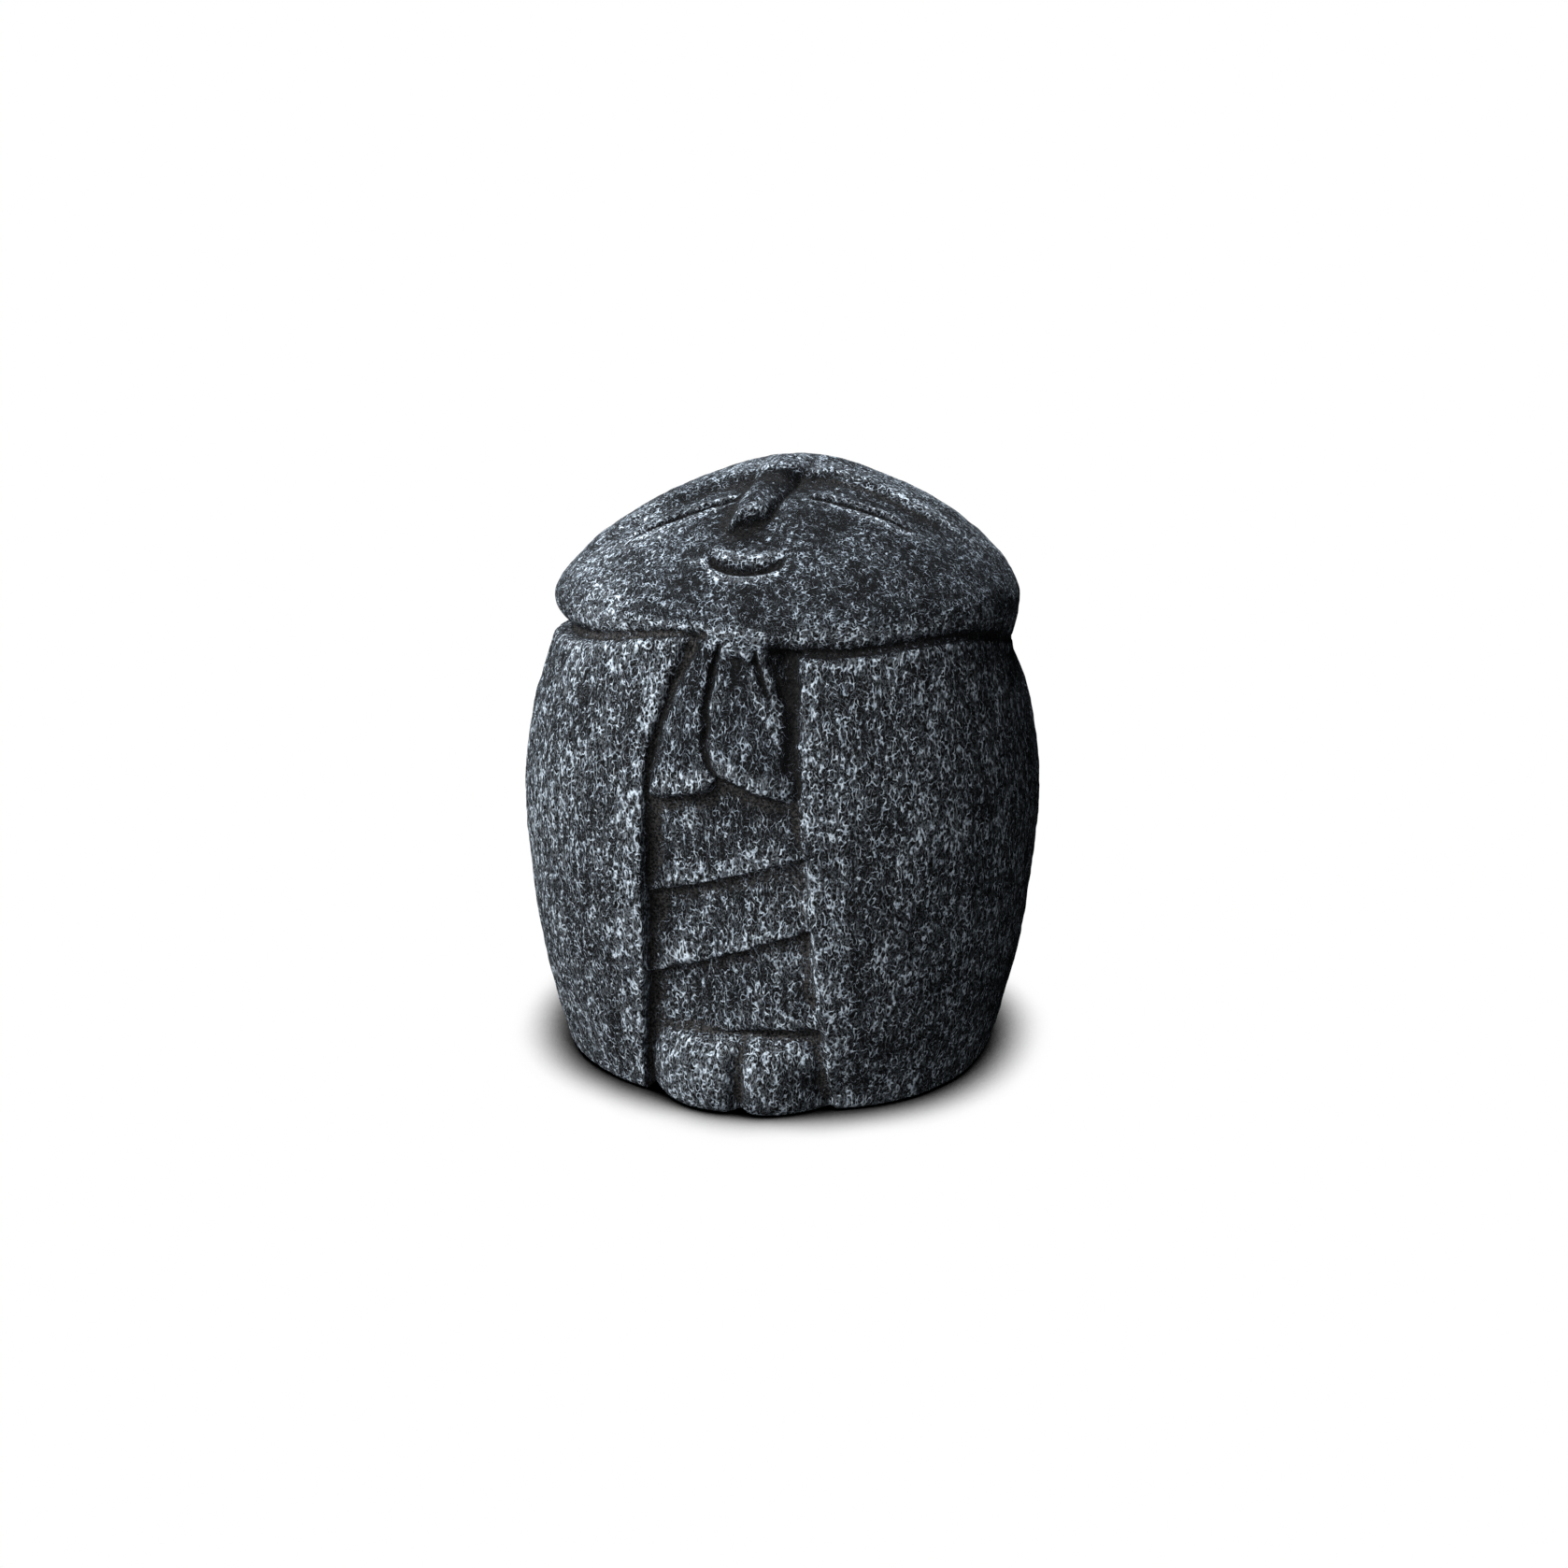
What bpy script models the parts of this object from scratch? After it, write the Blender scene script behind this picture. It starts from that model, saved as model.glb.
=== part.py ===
"""Stone jizo statue, one block of dark cast stone, in metres with +Z up.

The figure faces -Y and leans its face to the sky. The origin is the middle of its flat underside.
The block is one closed surface: a section carried up a profile, with the carving worked into it.
"""

import math

import bmesh
import bpy
import numpy as np

# Heights, one above the other, from the ground to the crown
HEM_HEIGHT = 0.0274
LOWER_LAYER = 0.028
MIDDLE_LAYER = 0.026
UPPER_LAYER = 0.0284
SLEEVE_LENGTH = 0.0347
NECK_RISE = 0.0040
RIM_RISE = 0.0105
DOME_HEIGHT = 0.0435
BELLY_HEIGHT = 0.092

# Half widths, seen from the front
BASE_HALF_WIDTH = 0.073
BELLY_HALF_WIDTH = 0.0869
SHOULDER_HALF_WIDTH = 0.0765
HEAD_HALF_WIDTH = 0.0778

# Half depths, seen from the side
BASE_HALF_DEPTH = 0.066
BELLY_HALF_DEPTH = 0.076
SHOULDER_HALF_DEPTH = 0.0680
HEAD_HALF_DEPTH = 0.0695

# Roundness of the sections and of the profile
BODY_SQUARENESS = 2.25
HEAD_SQUARENESS = 2.1
DOME_SQUARENESS = 1.52
LOWER_SWELL = 2.0
UPPER_SWELL = 1.8

# Edges and the groove under the head
BASE_ROUNDING = 0.0025
LEFT_SHOULDER_TURN = 0.0165
FRONT_SHOULDER_TURN = 0.0046
RIGHT_SHOULDER_TURN = 0.0010
LEFT_CHIN_TURN = 0.0175
FRONT_CHIN_TURN = 0.0070
RIGHT_CHIN_TURN = 0.0040
CHIN_DROP = 0.0108
TURN_ANGLE = math.radians(62)
SIDE_SHARPNESS = 4
NECK_TILT = 0.165
NECK_SIDE_TILT = 0.038
NECK_LIFT = 0.0062
NECK_LIFT_ANGLE = math.radians(-12)
NECK_LIFT_SPREAD = math.radians(26)
RIGHT_LIFT = 0.0042
RIGHT_LIFT_ANGLE = math.radians(62)
RIGHT_LIFT_SPREAD = math.radians(26)
NECK_DROP = 0.0046
NECK_DROP_ANGLE = math.radians(104)
NECK_DROP_SPREAD = math.radians(24)
NECK_BEND_REACH = 0.014
NECK_BEND_END = 5.3
GROOVE_FILL = 0.0034
HEAD_LEAN = 0.36
SIDE_LEAN = 0.001
HEAD_SIDE_LEAN = 0.02

# The opening between the robe panels
OPENING_FOOT_FLARE = 0.0028
OPENING_GAP = 0.0020
OPENING_GAP_TOP = 0.0085
OPENING_GAP_CURVE = 3.0
OPENING_RIGHT_FOOT = 0.0358
OPENING_RIGHT_TOP = 0.0250
LEFT_DEPTH = 0.0088
RIGHT_DEPTH = 0.0055
TOP_DEPTH_SHARE = 0.42
RIGHT_WALL = 0.0052

# The wrapped robe inside the opening, each layer lapping over the one below
LAP_STEP = 0.0026
LAP_LENGTH = 0.022
LAP_EDGE = 0.0007
UPPER_LAP_SLOPE = 0.31
LOWER_LAP_SLOPE = 0.38
HEM_SLOPE = 0.12

# The sleeves that meet under the chin
SLEEVE_PROUD = 0.0014
LEFT_SLEEVE_REACH = 0.0265
LEFT_SLEEVE_DRAW = 0.0180
LEFT_DRAW_CURVE = 2.2
RIGHT_SLEEVE_REACH = 0.0245
RIGHT_SLEEVE_DRAW = 0.0095
RIGHT_DRAW_CURVE = 1.5
SLEEVE_SQUARENESS = 5.0
SLEEVE_CLEFT = 0.0018
CLEFT_LEAN = 0.0044
CLEFT_BEND = 0.0062
CLEFT_CURVE = 0.75
CLEFT_DEPTH = 0.0022
CLEFT_WIDTH = 0.0011
LEFT_FOOT_FALL = 0.16
RIGHT_FOOT_FALL = 0.09
SLEEVE_FOOT_PEAK = 0.0034
SLEEVE_PEAK_WIDTH = 0.0060
SLEEVE_END = 0.0030

# The feet
FEET_LEFT = -0.0310
FEET_RIGHT = 0.0335
FEET_CLEFT = 0.0042
FEET_CLEFT_DEPTH = 0.0046
FEET_CLEFT_WIDTH = 0.0026
FEET_SQUARENESS = 3.2
FEET_PROUD = 0.0066
FOOT_HEIGHT = 0.0272
FOOT_BALL_HEIGHT = 0.006
FOOT_TOP_CURVE = 0.5

# The face, laid out from above: x to the side, y from the chin back to the brow
FACE_SKEW = 0.14
BROW_BACK = 0.007
BROW_SWEEP = 0.010
BROW_HALF_SPAN = 0.055
BROW_DIP = 0.0065
BROW_DIP_WIDTH = 0.012
BROW_HEIGHT = 0.0004
BROW_WIDTH = 0.0040
SOCKET_DEPTH = 0.0024
SOCKET_LENGTH = 0.024
SOCKET_EDGE = 0.0090
SOCKET_FLAT = 0.0085
SOCKET_SIDE = 0.038
SOCKET_SIDE_END = 0.069
NOSE_ROOT = 0.0080
NOSE_TIP = -0.0310
NOSE_ROOT_MIDDLE = -0.0022
NOSE_TIP_MIDDLE = -0.0042
NOSE_ROOT_HALF_WIDTH = 0.0088
NOSE_TIP_HALF_WIDTH = 0.0064
NOSE_HEIGHT = 0.0066
NOSE_ROOT_SHARE = 0.55
NOSE_ROUNDNESS = 2.2
NOSE_START = 0.010
NOSE_END = 0.0060
NOSE_END_SLANT = 0.50
EYE_START = 0.010
EYE_END = 0.047
EYE_TAPER = 0.005
EYE_LINE = -0.0165
EYE_FALL = 0.0045
EYE_LINE_DEPTH = 0.0014
EYE_LINE_WIDTH = 0.0018
EYE_LID_SHARE = 0.35
MOUTH_LINE = -0.0506
MOUTH_MIDDLE = -0.0008
MOUTH_HALF_WIDTH = 0.0132
MOUTH_CURVE = 0.0040
MOUTH_DEPTH = 0.0040
MOUTH_WIDTH = 0.0018
LIP_HEIGHT = 0.0008
FACE_LOOK = (0.0, -0.55, 0.835)
FACE_STARTS = (4.8, 5.1)

# The mesh: columns from the back round to the front and across the opening, rows from the ground up
BACK_COLUMNS = 11
PANEL_COLUMNS = 5
LEFT_WALL_COLUMNS = 2
LEFT_OPENING_COLUMNS = 9
RIGHT_OPENING_COLUMNS = 11
RIGHT_WALL_COLUMNS = 2
UNDERSIDE_ROWS = 3
BASE_EDGE_ROWS = 2
FLANK_ROWS = (7, 7, 7, 6, 10)
NECK_ROWS = 3
CHIN_ROWS = 4
CHEEK_ROWS = 7
MOUTH_ROWS = 5
FACE_ROWS = 22
CROWN_ROWS = 5
STATION_STEPS = 200
PANEL_ANGLE = math.radians(38)
POLE_SIZE = 0.0000001
FURTHEST_SHARE = 0.95
SHARP_ANGLE = math.radians(50)

STONE_COLOUR = (0.040, 0.045, 0.052, 1.0)
STONE_ROUGHNESS = 0.9


def smooth(start, end, value):
    """Smooth rise from 0 at start to 1 at end."""
    share = np.clip((value - start) / (end - start), 0.0, 1.0)
    return share * share * (3.0 - 2.0 * share)


def bell(offset, width):
    """Smooth bell, 1 at no offset and nearly 0 at twice the width."""
    return np.exp(-((offset / width) ** 2))


def ring(angle, half_width, half_depth, squareness):
    """Point of a superellipse at an angle from the front, -Y, towards +X."""
    side = np.abs(np.sin(angle)) / half_width
    front = np.abs(np.cos(angle)) / half_depth
    radius = (side**squareness + front**squareness) ** (-1.0 / squareness)
    return radius * np.sin(angle), -radius * np.cos(angle)


def levels():
    """Heights of the hem, the two laps, the sleeves' foot and the shoulder, each above the last."""
    return np.cumsum((HEM_HEIGHT, LOWER_LAYER, MIDDLE_LAYER, UPPER_LAYER, SLEEVE_LENGTH))


def spread(value, shares, places):
    """Straight runs through the places, one place for each share; a place may differ by vertex."""
    result = places[0]
    for low, high, start, end in zip(shares, shares[1:], places, places[1:]):
        result = result + (end - start) * np.clip((value - low) / (high - low), 0.0, 1.0)
    return result


def swell(height, base, belly, shoulder):
    """Half size of the body at a height: base to belly, then belly to shoulder."""
    below = np.clip(1.0 - height / BELLY_HEIGHT, 0.0, 1.0)
    above = np.clip((height - BELLY_HEIGHT) / (levels()[-1] - BELLY_HEIGHT), 0.0, 1.0)
    lower = (belly - base) * below**LOWER_SWELL
    upper = (belly - shoulder) * above**UPPER_SWELL
    return belly - lower - upper


def body_sizes(height):
    """Half width and half depth of the body at a height."""
    half_width = swell(height, BASE_HALF_WIDTH, BELLY_HALF_WIDTH, SHOULDER_HALF_WIDTH)
    half_depth = swell(height, BASE_HALF_DEPTH, BELLY_HALF_DEPTH, SHOULDER_HALF_DEPTH)
    return half_width, half_depth


def head_sizes(station, chin_turn):
    """Half width, half depth and height of the head: the chin's turn, then the dome."""
    rim_height = levels()[-1] + NECK_RISE + RIM_RISE
    turn = TURN_ANGLE * (1.0 - np.clip(station - 4.0, 0.0, 1.0))
    chin_in = chin_turn * (1.0 - np.cos(turn))
    climb = 0.5 * math.pi * np.clip(station - 5.0, 0.0, 1.0)
    shrink = np.clip(np.cos(climb), 0.0, 1.0) ** (2.0 / DOME_SQUARENESS)
    rise = DOME_HEIGHT * np.sin(climb) ** (2.0 / DOME_SQUARENESS)
    height = rim_height - CHIN_DROP * np.sin(turn) + rise
    return HEAD_HALF_WIDTH * shrink - chin_in, HEAD_HALF_DEPTH * shrink - chin_in, height


def around(angle, left, front, right):
    """Value that is one thing at the front and back and changes to others at the left and right."""
    left_share = np.maximum(-np.sin(angle), 0.0) ** SIDE_SHARPNESS
    right_share = np.maximum(np.sin(angle), 0.0) ** SIDE_SHARPNESS
    return front + (left - front) * left_share + (right - front) * right_share


def neck_bend(angle):
    """How far the groove under the head strays from its level: up at the front, down behind the right."""
    up = NECK_LIFT * bell(angle - NECK_LIFT_ANGLE, NECK_LIFT_SPREAD)
    up = up + RIGHT_LIFT * bell(angle - RIGHT_LIFT_ANGLE, RIGHT_LIFT_SPREAD)
    return up - NECK_DROP * bell(angle - NECK_DROP_ANGLE, NECK_DROP_SPREAD)


def left_rise(height):
    """Share of the left sleeve's height: 0 at its foot, which hangs lowest at the left, 1 at the chin."""
    foot = levels()[-2] - LEFT_FOOT_FALL * LEFT_SLEEVE_REACH
    return np.clip((height - foot) / (levels()[-1] + NECK_RISE - foot), 0.0, 1.0)


def left_wall(height):
    """Width of the left panel's wall: the gap between panel and sleeve, wider towards the chin."""
    return OPENING_GAP + (OPENING_GAP_TOP - OPENING_GAP) * left_rise(height) ** OPENING_GAP_CURVE


def opening_edges(height):
    """Left and right edge of the robe opening at a height; the left one follows the sleeve."""
    lower, shoulder = levels()[1], levels()[-1]
    flare = OPENING_FOOT_FLARE * np.clip(1.0 - height / lower, 0.0, 1.0)
    left = sleeve_edges(left_rise(height))[0] - left_wall(height) - flare
    right = OPENING_RIGHT_FOOT + (OPENING_RIGHT_TOP - OPENING_RIGHT_FOOT) * height / shoulder
    return left, right


def middle_line(height):
    """Where the two feet and the two sleeves part: from the cleft of the feet to that of the sleeves."""
    hem, lower, upper, sleeve_foot, shoulder = levels()
    rise = np.clip((height - sleeve_foot) / (SLEEVE_LENGTH + NECK_RISE), 0.0, 1.0)
    share = smooth(hem, sleeve_foot, height)
    bend = CLEFT_LEAN * rise + CLEFT_BEND * np.sin(math.pi * rise**CLEFT_CURVE)
    return FEET_CLEFT + (SLEEVE_CLEFT - FEET_CLEFT) * share - bend


def line_heights(height, x):
    """Height that a level row takes on at x: it follows the slant of the laps and the sleeves' foot."""
    hem, lower, upper, sleeve_foot, shoulder = levels()
    slopes = (0.0, HEM_SLOPE, LOWER_LAP_SLOPE, UPPER_LAP_SLOPE, 0.0)
    slope = np.interp(height, (0.0, hem, lower, upper, sleeve_foot), slopes)
    arch = np.interp(height, (upper, sleeve_foot, shoulder), (0.0, 1.0, 0.0))
    off = x - SLEEVE_CLEFT
    fall = LEFT_FOOT_FALL * np.maximum(-off, 0.0) + RIGHT_FOOT_FALL * np.maximum(off, 0.0)
    return height + slope * x + arch * (SLEEVE_FOOT_PEAK * bell(off, SLEEVE_PEAK_WIDTH) - fall)


def lap(above):
    """How far a wrapped layer stands out above its lower edge, easing off upwards."""
    return LAP_STEP * smooth(-LAP_EDGE, LAP_EDGE, above) * (1.0 - smooth(0.0, LAP_LENGTH, above))


def lobe(x, left, right, squareness):
    """Rounded swelling from 0 at its edges to 1 between them."""
    off = (x - 0.5 * (left + right)) / (0.5 * (right - left))
    return np.clip(1.0 - np.abs(off) ** squareness, 0.0, 1.0)


def sleeve_edges(rise):
    """Left and right edge of the two sleeves together, drawn in towards the chin."""
    left = -LEFT_SLEEVE_REACH + LEFT_SLEEVE_DRAW * rise**LEFT_DRAW_CURVE
    right = RIGHT_SLEEVE_REACH - RIGHT_SLEEVE_DRAW * rise**RIGHT_DRAW_CURVE
    return left, right


def sleeves(x, above, cleft, floor):
    """How far both sleeves stand out from the opening's floor, parted by a narrow cleft."""
    rise = np.clip(above / (SLEEVE_LENGTH + NECK_RISE), 0.0, 1.0)
    swelling = (floor + SLEEVE_PROUD) * lobe(x, *sleeve_edges(rise), SLEEVE_SQUARENESS)
    cut = CLEFT_DEPTH * bell(x - cleft, CLEFT_WIDTH)
    return np.maximum(swelling - cut, 0.0) * smooth(-0.5 * SLEEVE_END, 0.5 * SLEEVE_END, above)


def feet(x, height, floor):
    """How far both feet stand out from the opening's floor, parted by a soft cleft."""
    up = (height - FOOT_BALL_HEIGHT) / (FOOT_HEIGHT - FOOT_BALL_HEIGHT)
    swelling = (floor + FEET_PROUD) * lobe(x, FEET_LEFT, FEET_RIGHT, FEET_SQUARENESS)
    cut = FEET_CLEFT_DEPTH * bell(x - FEET_CLEFT, FEET_CLEFT_WIDTH)
    return np.maximum(swelling - cut, 0.0) * np.clip(1.0 - up**2, 0.0, 1.0) ** FOOT_TOP_CURVE


def body_carving(x, row, height):
    """Depth carved into the front: the opening, less what stands up inside it.

    Row is the level before it follows the slant of the laps, so each lap is one row.
    """
    hem, lower, upper, sleeve_foot, shoulder = levels()
    left, right = opening_edges(height)
    from_left = smooth(left, left + left_wall(height), x)
    from_right = smooth(right, right - RIGHT_WALL, x)
    share = np.clip((x - left) / (right - left), 0.0, 1.0)
    under_sleeves = smooth(upper, sleeve_foot, height)
    deeper_right = 1.0 - share * smooth(sleeve_foot, shoulder, height)
    shallow = 1.0 - (1.0 - TOP_DEPTH_SHARE) * under_sleeves * deeper_right
    floor = shallow * (LEFT_DEPTH + (RIGHT_DEPTH - LEFT_DEPTH) * share)
    layers = lap(row - hem) + lap(row - lower) + lap(row - upper)
    hands = sleeves(x, row - sleeve_foot, middle_line(height), floor)
    raised = np.maximum(layers, np.maximum(hands, feet(x, height, floor)))
    return from_left * from_right * (floor - raised)


def brow_line(x):
    """How far back the brow lies: a wide arc that dips to the root of the nose."""
    return BROW_BACK - BROW_SWEEP * (x / BROW_HALF_SPAN) ** 2 - BROW_DIP * bell(x, BROW_DIP_WIDTH)


def nose(x, y):
    """Flat-topped ridge from the brow to the tip, rising forwards and cut off askew under the tip."""
    along = np.clip((y - NOSE_ROOT) / (NOSE_TIP - NOSE_ROOT), 0.0, 1.0)
    middle = NOSE_ROOT_MIDDLE + (NOSE_TIP_MIDDLE - NOSE_ROOT_MIDDLE) * along
    half = NOSE_ROOT_HALF_WIDTH + (NOSE_TIP_HALF_WIDTH - NOSE_ROOT_HALF_WIDTH) * along
    across = lobe(x, middle - half, middle + half, NOSE_ROUNDNESS)
    height = NOSE_HEIGHT * (NOSE_ROOT_SHARE + (1.0 - NOSE_ROOT_SHARE) * along)
    start = smooth(NOSE_ROOT + NOSE_START, NOSE_ROOT, y)
    tip = NOSE_TIP + NOSE_END_SLANT * (x - middle)
    return height * across * start * smooth(tip - NOSE_END, tip, y)


def sockets(x, y):
    """Hollow in front of the brow on either side, fading towards the cheek."""
    ahead = brow_line(x) - y
    side = 1.0 - smooth(SOCKET_SIDE, SOCKET_SIDE_END, np.abs(x))
    back_edge = smooth(0.0, SOCKET_EDGE, ahead)
    front_edge = 1.0 - smooth(SOCKET_FLAT, SOCKET_LENGTH, ahead)
    return SOCKET_DEPTH * side * back_edge * front_edge


def eyes(x, y):
    """Two closed eyes, each a thin line that falls outwards, with the lid standing out behind it."""
    out = np.abs(x)
    line = EYE_LINE - EYE_FALL * (out - EYE_START) / (EYE_END - EYE_START)
    length = smooth(EYE_START, EYE_START + EYE_TAPER, out) * smooth(EYE_END, EYE_END - EYE_TAPER, out)
    lid = EYE_LID_SHARE * bell(y - line - 2.0 * EYE_LINE_WIDTH, EYE_LINE_WIDTH)
    return EYE_LINE_DEPTH * length * (bell(y - line, EYE_LINE_WIDTH) - lid)


def mouth(x, y):
    """Cut smile, less the lip that stands out above it."""
    off = (x - MOUTH_MIDDLE) / MOUTH_HALF_WIDTH
    line = MOUTH_LINE + MOUTH_CURVE * off**2
    length = np.clip(1.0 - off**4, 0.0, 1.0)
    cut = MOUTH_DEPTH * bell(y - line, MOUTH_WIDTH)
    lip = LIP_HEIGHT * bell(y - line - 2.0 * MOUTH_WIDTH, 2.0 * MOUTH_WIDTH)
    return length * (cut - lip)


def face_carving(x, y):
    """Height of the face over the plain dome of the head; brow and eyes lie a little askew."""
    turned = y - FACE_SKEW * x
    brow = BROW_HEIGHT * bell(turned - brow_line(x), BROW_WIDTH)
    brow = brow * (1.0 - smooth(BROW_HALF_SPAN, SOCKET_SIDE_END, np.abs(x)))
    return brow + nose(x, y) - sockets(x, turned) - eyes(x, turned) - mouth(x, y)


def ring_station(place):
    """Station of the ring of the head that crosses the middle of the face at a place, y from above."""
    stations = np.linspace(5.0, 6.0, STATION_STEPS)
    half_depth, height = head_sizes(stations, FRONT_CHIN_TURN)[1:]
    return np.interp(place, HEAD_LEAN * (height - levels()[-1] - NECK_RISE) - half_depth, stations)


def row_plan():
    """Rows from the ground to the crown: how many rows lead up to each station of the profile.

    Stations: 0 to 1 underside, 2 base edge, 3 flank, 4 shoulder turn, 5 chin turn, 6 crown.
    """
    hem, lower, upper, sleeve_foot, shoulder = levels()
    edges = ((hem, LAP_EDGE), (lower, LAP_EDGE), (upper, LAP_EDGE), (sleeve_foot, 0.5 * SLEEVE_END))
    flank = []
    for rows, (level, edge) in zip(FLANK_ROWS, edges):
        flank += [(rows, level - edge), (1, level + edge)]
    flank.append((FLANK_ROWS[-1], shoulder))
    plan = [(0, 0.0), (UNDERSIDE_ROWS, 1.0), (BASE_EDGE_ROWS, 2.0)]
    plan += [(rows, 2.0 + (height - BASE_ROUNDING) / (shoulder - BASE_ROUNDING)) for rows, height in flank]
    plan += [(NECK_ROWS, 4.0), (CHIN_ROWS, 5.0), (CHEEK_ROWS, ring_station(MOUTH_LINE - MOUTH_WIDTH))]
    plan += [(MOUTH_ROWS, ring_station(MOUTH_LINE + MOUTH_CURVE)), (FACE_ROWS, ring_station(NOSE_ROOT))]
    plan += [(CROWN_ROWS, 6.0)]
    return np.cumsum([rows for rows, station in plan]), [station for rows, station in plan]


def column_plan():
    """Column counts from the back, round the left side and the front, to the back again."""
    counts = (0, BACK_COLUMNS, PANEL_COLUMNS, LEFT_WALL_COLUMNS, LEFT_OPENING_COLUMNS)
    counts += (RIGHT_OPENING_COLUMNS, RIGHT_WALL_COLUMNS, PANEL_COLUMNS, BACK_COLUMNS)
    return np.cumsum(counts)


def front_angle(x, half_width, half_depth):
    """Angle from the front at which the body's section lies at x."""
    share = np.clip(np.abs(x) / half_width, 0.0, FURTHEST_SHARE) ** BODY_SQUARENESS
    return np.arctan2(x, half_depth * (1.0 - share) ** (1.0 / BODY_SQUARENESS))


def column_angle(column, height):
    """Angle of a column, with columns kept along the opening's walls and its middle line."""
    half_width, half_depth = body_sizes(height)
    left, right = opening_edges(height)
    places = (-math.pi, -PANEL_ANGLE)
    for x in (left, left + left_wall(height), middle_line(height), right - RIGHT_WALL, right):
        places += (front_angle(x, half_width, half_depth),)
    return spread(column, column_plan(), places + (PANEL_ANGLE, math.pi))


def figure_points(column, row_number):
    """Points of the statue for a column, counted from the back, and a row, from the ground."""
    row_counts, row_stations = row_plan()
    station = np.interp(row_number, row_counts, row_stations)
    shoulder = levels()[-1]
    on_head = station > 4.0
    corner = 0.5 * math.pi * np.clip(station - 1.0, 0.0, 1.0)
    flank_rise = (shoulder - BASE_ROUNDING) * np.clip(station - 2.0, 0.0, 1.0)
    row = BASE_ROUNDING * (1.0 - np.cos(corner)) + flank_rise

    angle = column_angle(column, row)
    plain_width, plain_depth = body_sizes(row)
    x = ring(angle, plain_width, plain_depth, BODY_SQUARENESS)[0]
    left, right = opening_edges(row)
    towards_front = smooth(math.pi / 2.0, PANEL_ANGLE, np.abs(angle))
    slanted = line_heights(row, np.clip(x, left, right))
    height = np.where(station > 2.0, row + towards_front * (slanted - row), row)

    angle = column_angle(column, height)
    half_width, half_depth = body_sizes(height)
    turn = TURN_ANGLE * np.clip(station - 3.0, 0.0, 1.0)
    shoulder_turn = around(angle, LEFT_SHOULDER_TURN, FRONT_SHOULDER_TURN, RIGHT_SHOULDER_TURN)
    inset = BASE_ROUNDING * (1.0 - np.sin(corner)) + shoulder_turn * (1.0 - np.cos(turn))
    reach = np.clip(station, 0.0, 1.0)
    chin_turn = around(angle, LEFT_CHIN_TURN, FRONT_CHIN_TURN, RIGHT_CHIN_TURN)
    head_width, head_depth, head_height = head_sizes(station, chin_turn)
    half_width = np.where(on_head, head_width, reach * (half_width - inset))
    half_depth = np.where(on_head, head_depth, reach * (half_depth - inset))
    height = np.where(on_head, head_height, height + NECK_RISE * np.sin(turn) / math.sin(TURN_ANGLE))
    squareness = np.where(on_head, HEAD_SQUARENESS, BODY_SQUARENESS)
    x, y = ring(angle, np.maximum(half_width, POLE_SIZE), np.maximum(half_depth, POLE_SIZE), squareness)

    tilt = np.clip(height / shoulder, 0.0, 1.0) ** 2
    above_neck = np.where(on_head, height - shoulder - NECK_RISE, 0.0)
    below_neck = bell(height - shoulder - NECK_RISE, NECK_BEND_REACH)
    bent = np.where(on_head, smooth(NECK_BEND_END, 4.0, station), below_neck) * neck_bend(angle)
    z = height + tilt * (NECK_SIDE_TILT * x - NECK_TILT * y) + bent
    on_front = ~on_head & (np.abs(angle) < math.pi / 2.0)
    y = y + reach * np.where(on_front, body_carving(x, row, height), 0.0)
    beside_groove = np.clip(1.0 - np.abs(station - 4.0), 0.0, 1.0) * (np.abs(angle) < math.pi / 2.0)
    y = y - GROOVE_FILL * beside_groove * lobe(x, *sleeve_edges(1.0), SLEEVE_SQUARENESS)
    y = y + HEAD_LEAN * above_neck
    relief = np.where(on_head, smooth(*FACE_STARTS, station) * face_carving(x, y), 0.0)
    x = x + SIDE_LEAN * tilt + HEAD_SIDE_LEAN * above_neck
    return x + relief * FACE_LOOK[0], y + relief * FACE_LOOK[1], z + relief * FACE_LOOK[2]


def clear_scene():
    for item in list(bpy.data.objects):
        bpy.data.objects.remove(item, do_unlink=True)


def stone_material():
    material = bpy.data.materials.new("dark_stone")
    material.use_nodes = True
    shader = material.node_tree.nodes["Principled BSDF"]
    shader.inputs["Base Color"].default_value = STONE_COLOUR
    shader.inputs["Roughness"].default_value = STONE_ROUGHNESS
    shader.inputs["Metallic"].default_value = 0.0
    return material


def make_statue():
    """A sphere's rings and columns, each vertex carried to its place on the statue."""
    columns = int(column_plan()[-1])
    rows = int(row_plan()[0][-1])
    form = bmesh.new()
    bmesh.ops.create_uvsphere(form, u_segments=columns, v_segments=rows, radius=1.0)
    mesh = bpy.data.meshes.new("jizo_statue")
    form.to_mesh(mesh)
    form.free()

    sphere = np.empty(3 * len(mesh.vertices), dtype=np.float32)
    mesh.vertices.foreach_get("co", sphere)
    sphere = sphere.reshape(-1, 3).astype(float)
    column = np.round((np.arctan2(sphere[:, 0], -sphere[:, 1]) / math.pi + 1.0) * columns / 2.0)
    row = np.round((1.0 - np.arccos(np.clip(sphere[:, 2], -1.0, 1.0)) / math.pi) * rows)
    points = np.stack(figure_points(column, row), axis=1)
    mesh.vertices.foreach_set("co", points.ravel())
    mesh.update()
    mesh.shade_smooth()
    mesh.set_sharp_from_angle(angle=SHARP_ANGLE)
    mesh.materials.append(stone_material())

    statue = bpy.data.objects.new("jizo_statue", mesh)
    bpy.context.scene.collection.objects.link(statue)
    return statue


clear_scene()
make_statue()
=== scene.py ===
"""Looks of the stone jizo statue: one worn block of dark stone, pale with dry brush, under soft studio
light and with some light and shade painted on.

The figure is one closed surface, worked out from the same named sizes as its solid, with the finer
carving, tool marks, chips and lumps of the stone added as mesh. Metres, +Z up, the face towards -Y.
"""

import math

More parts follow.
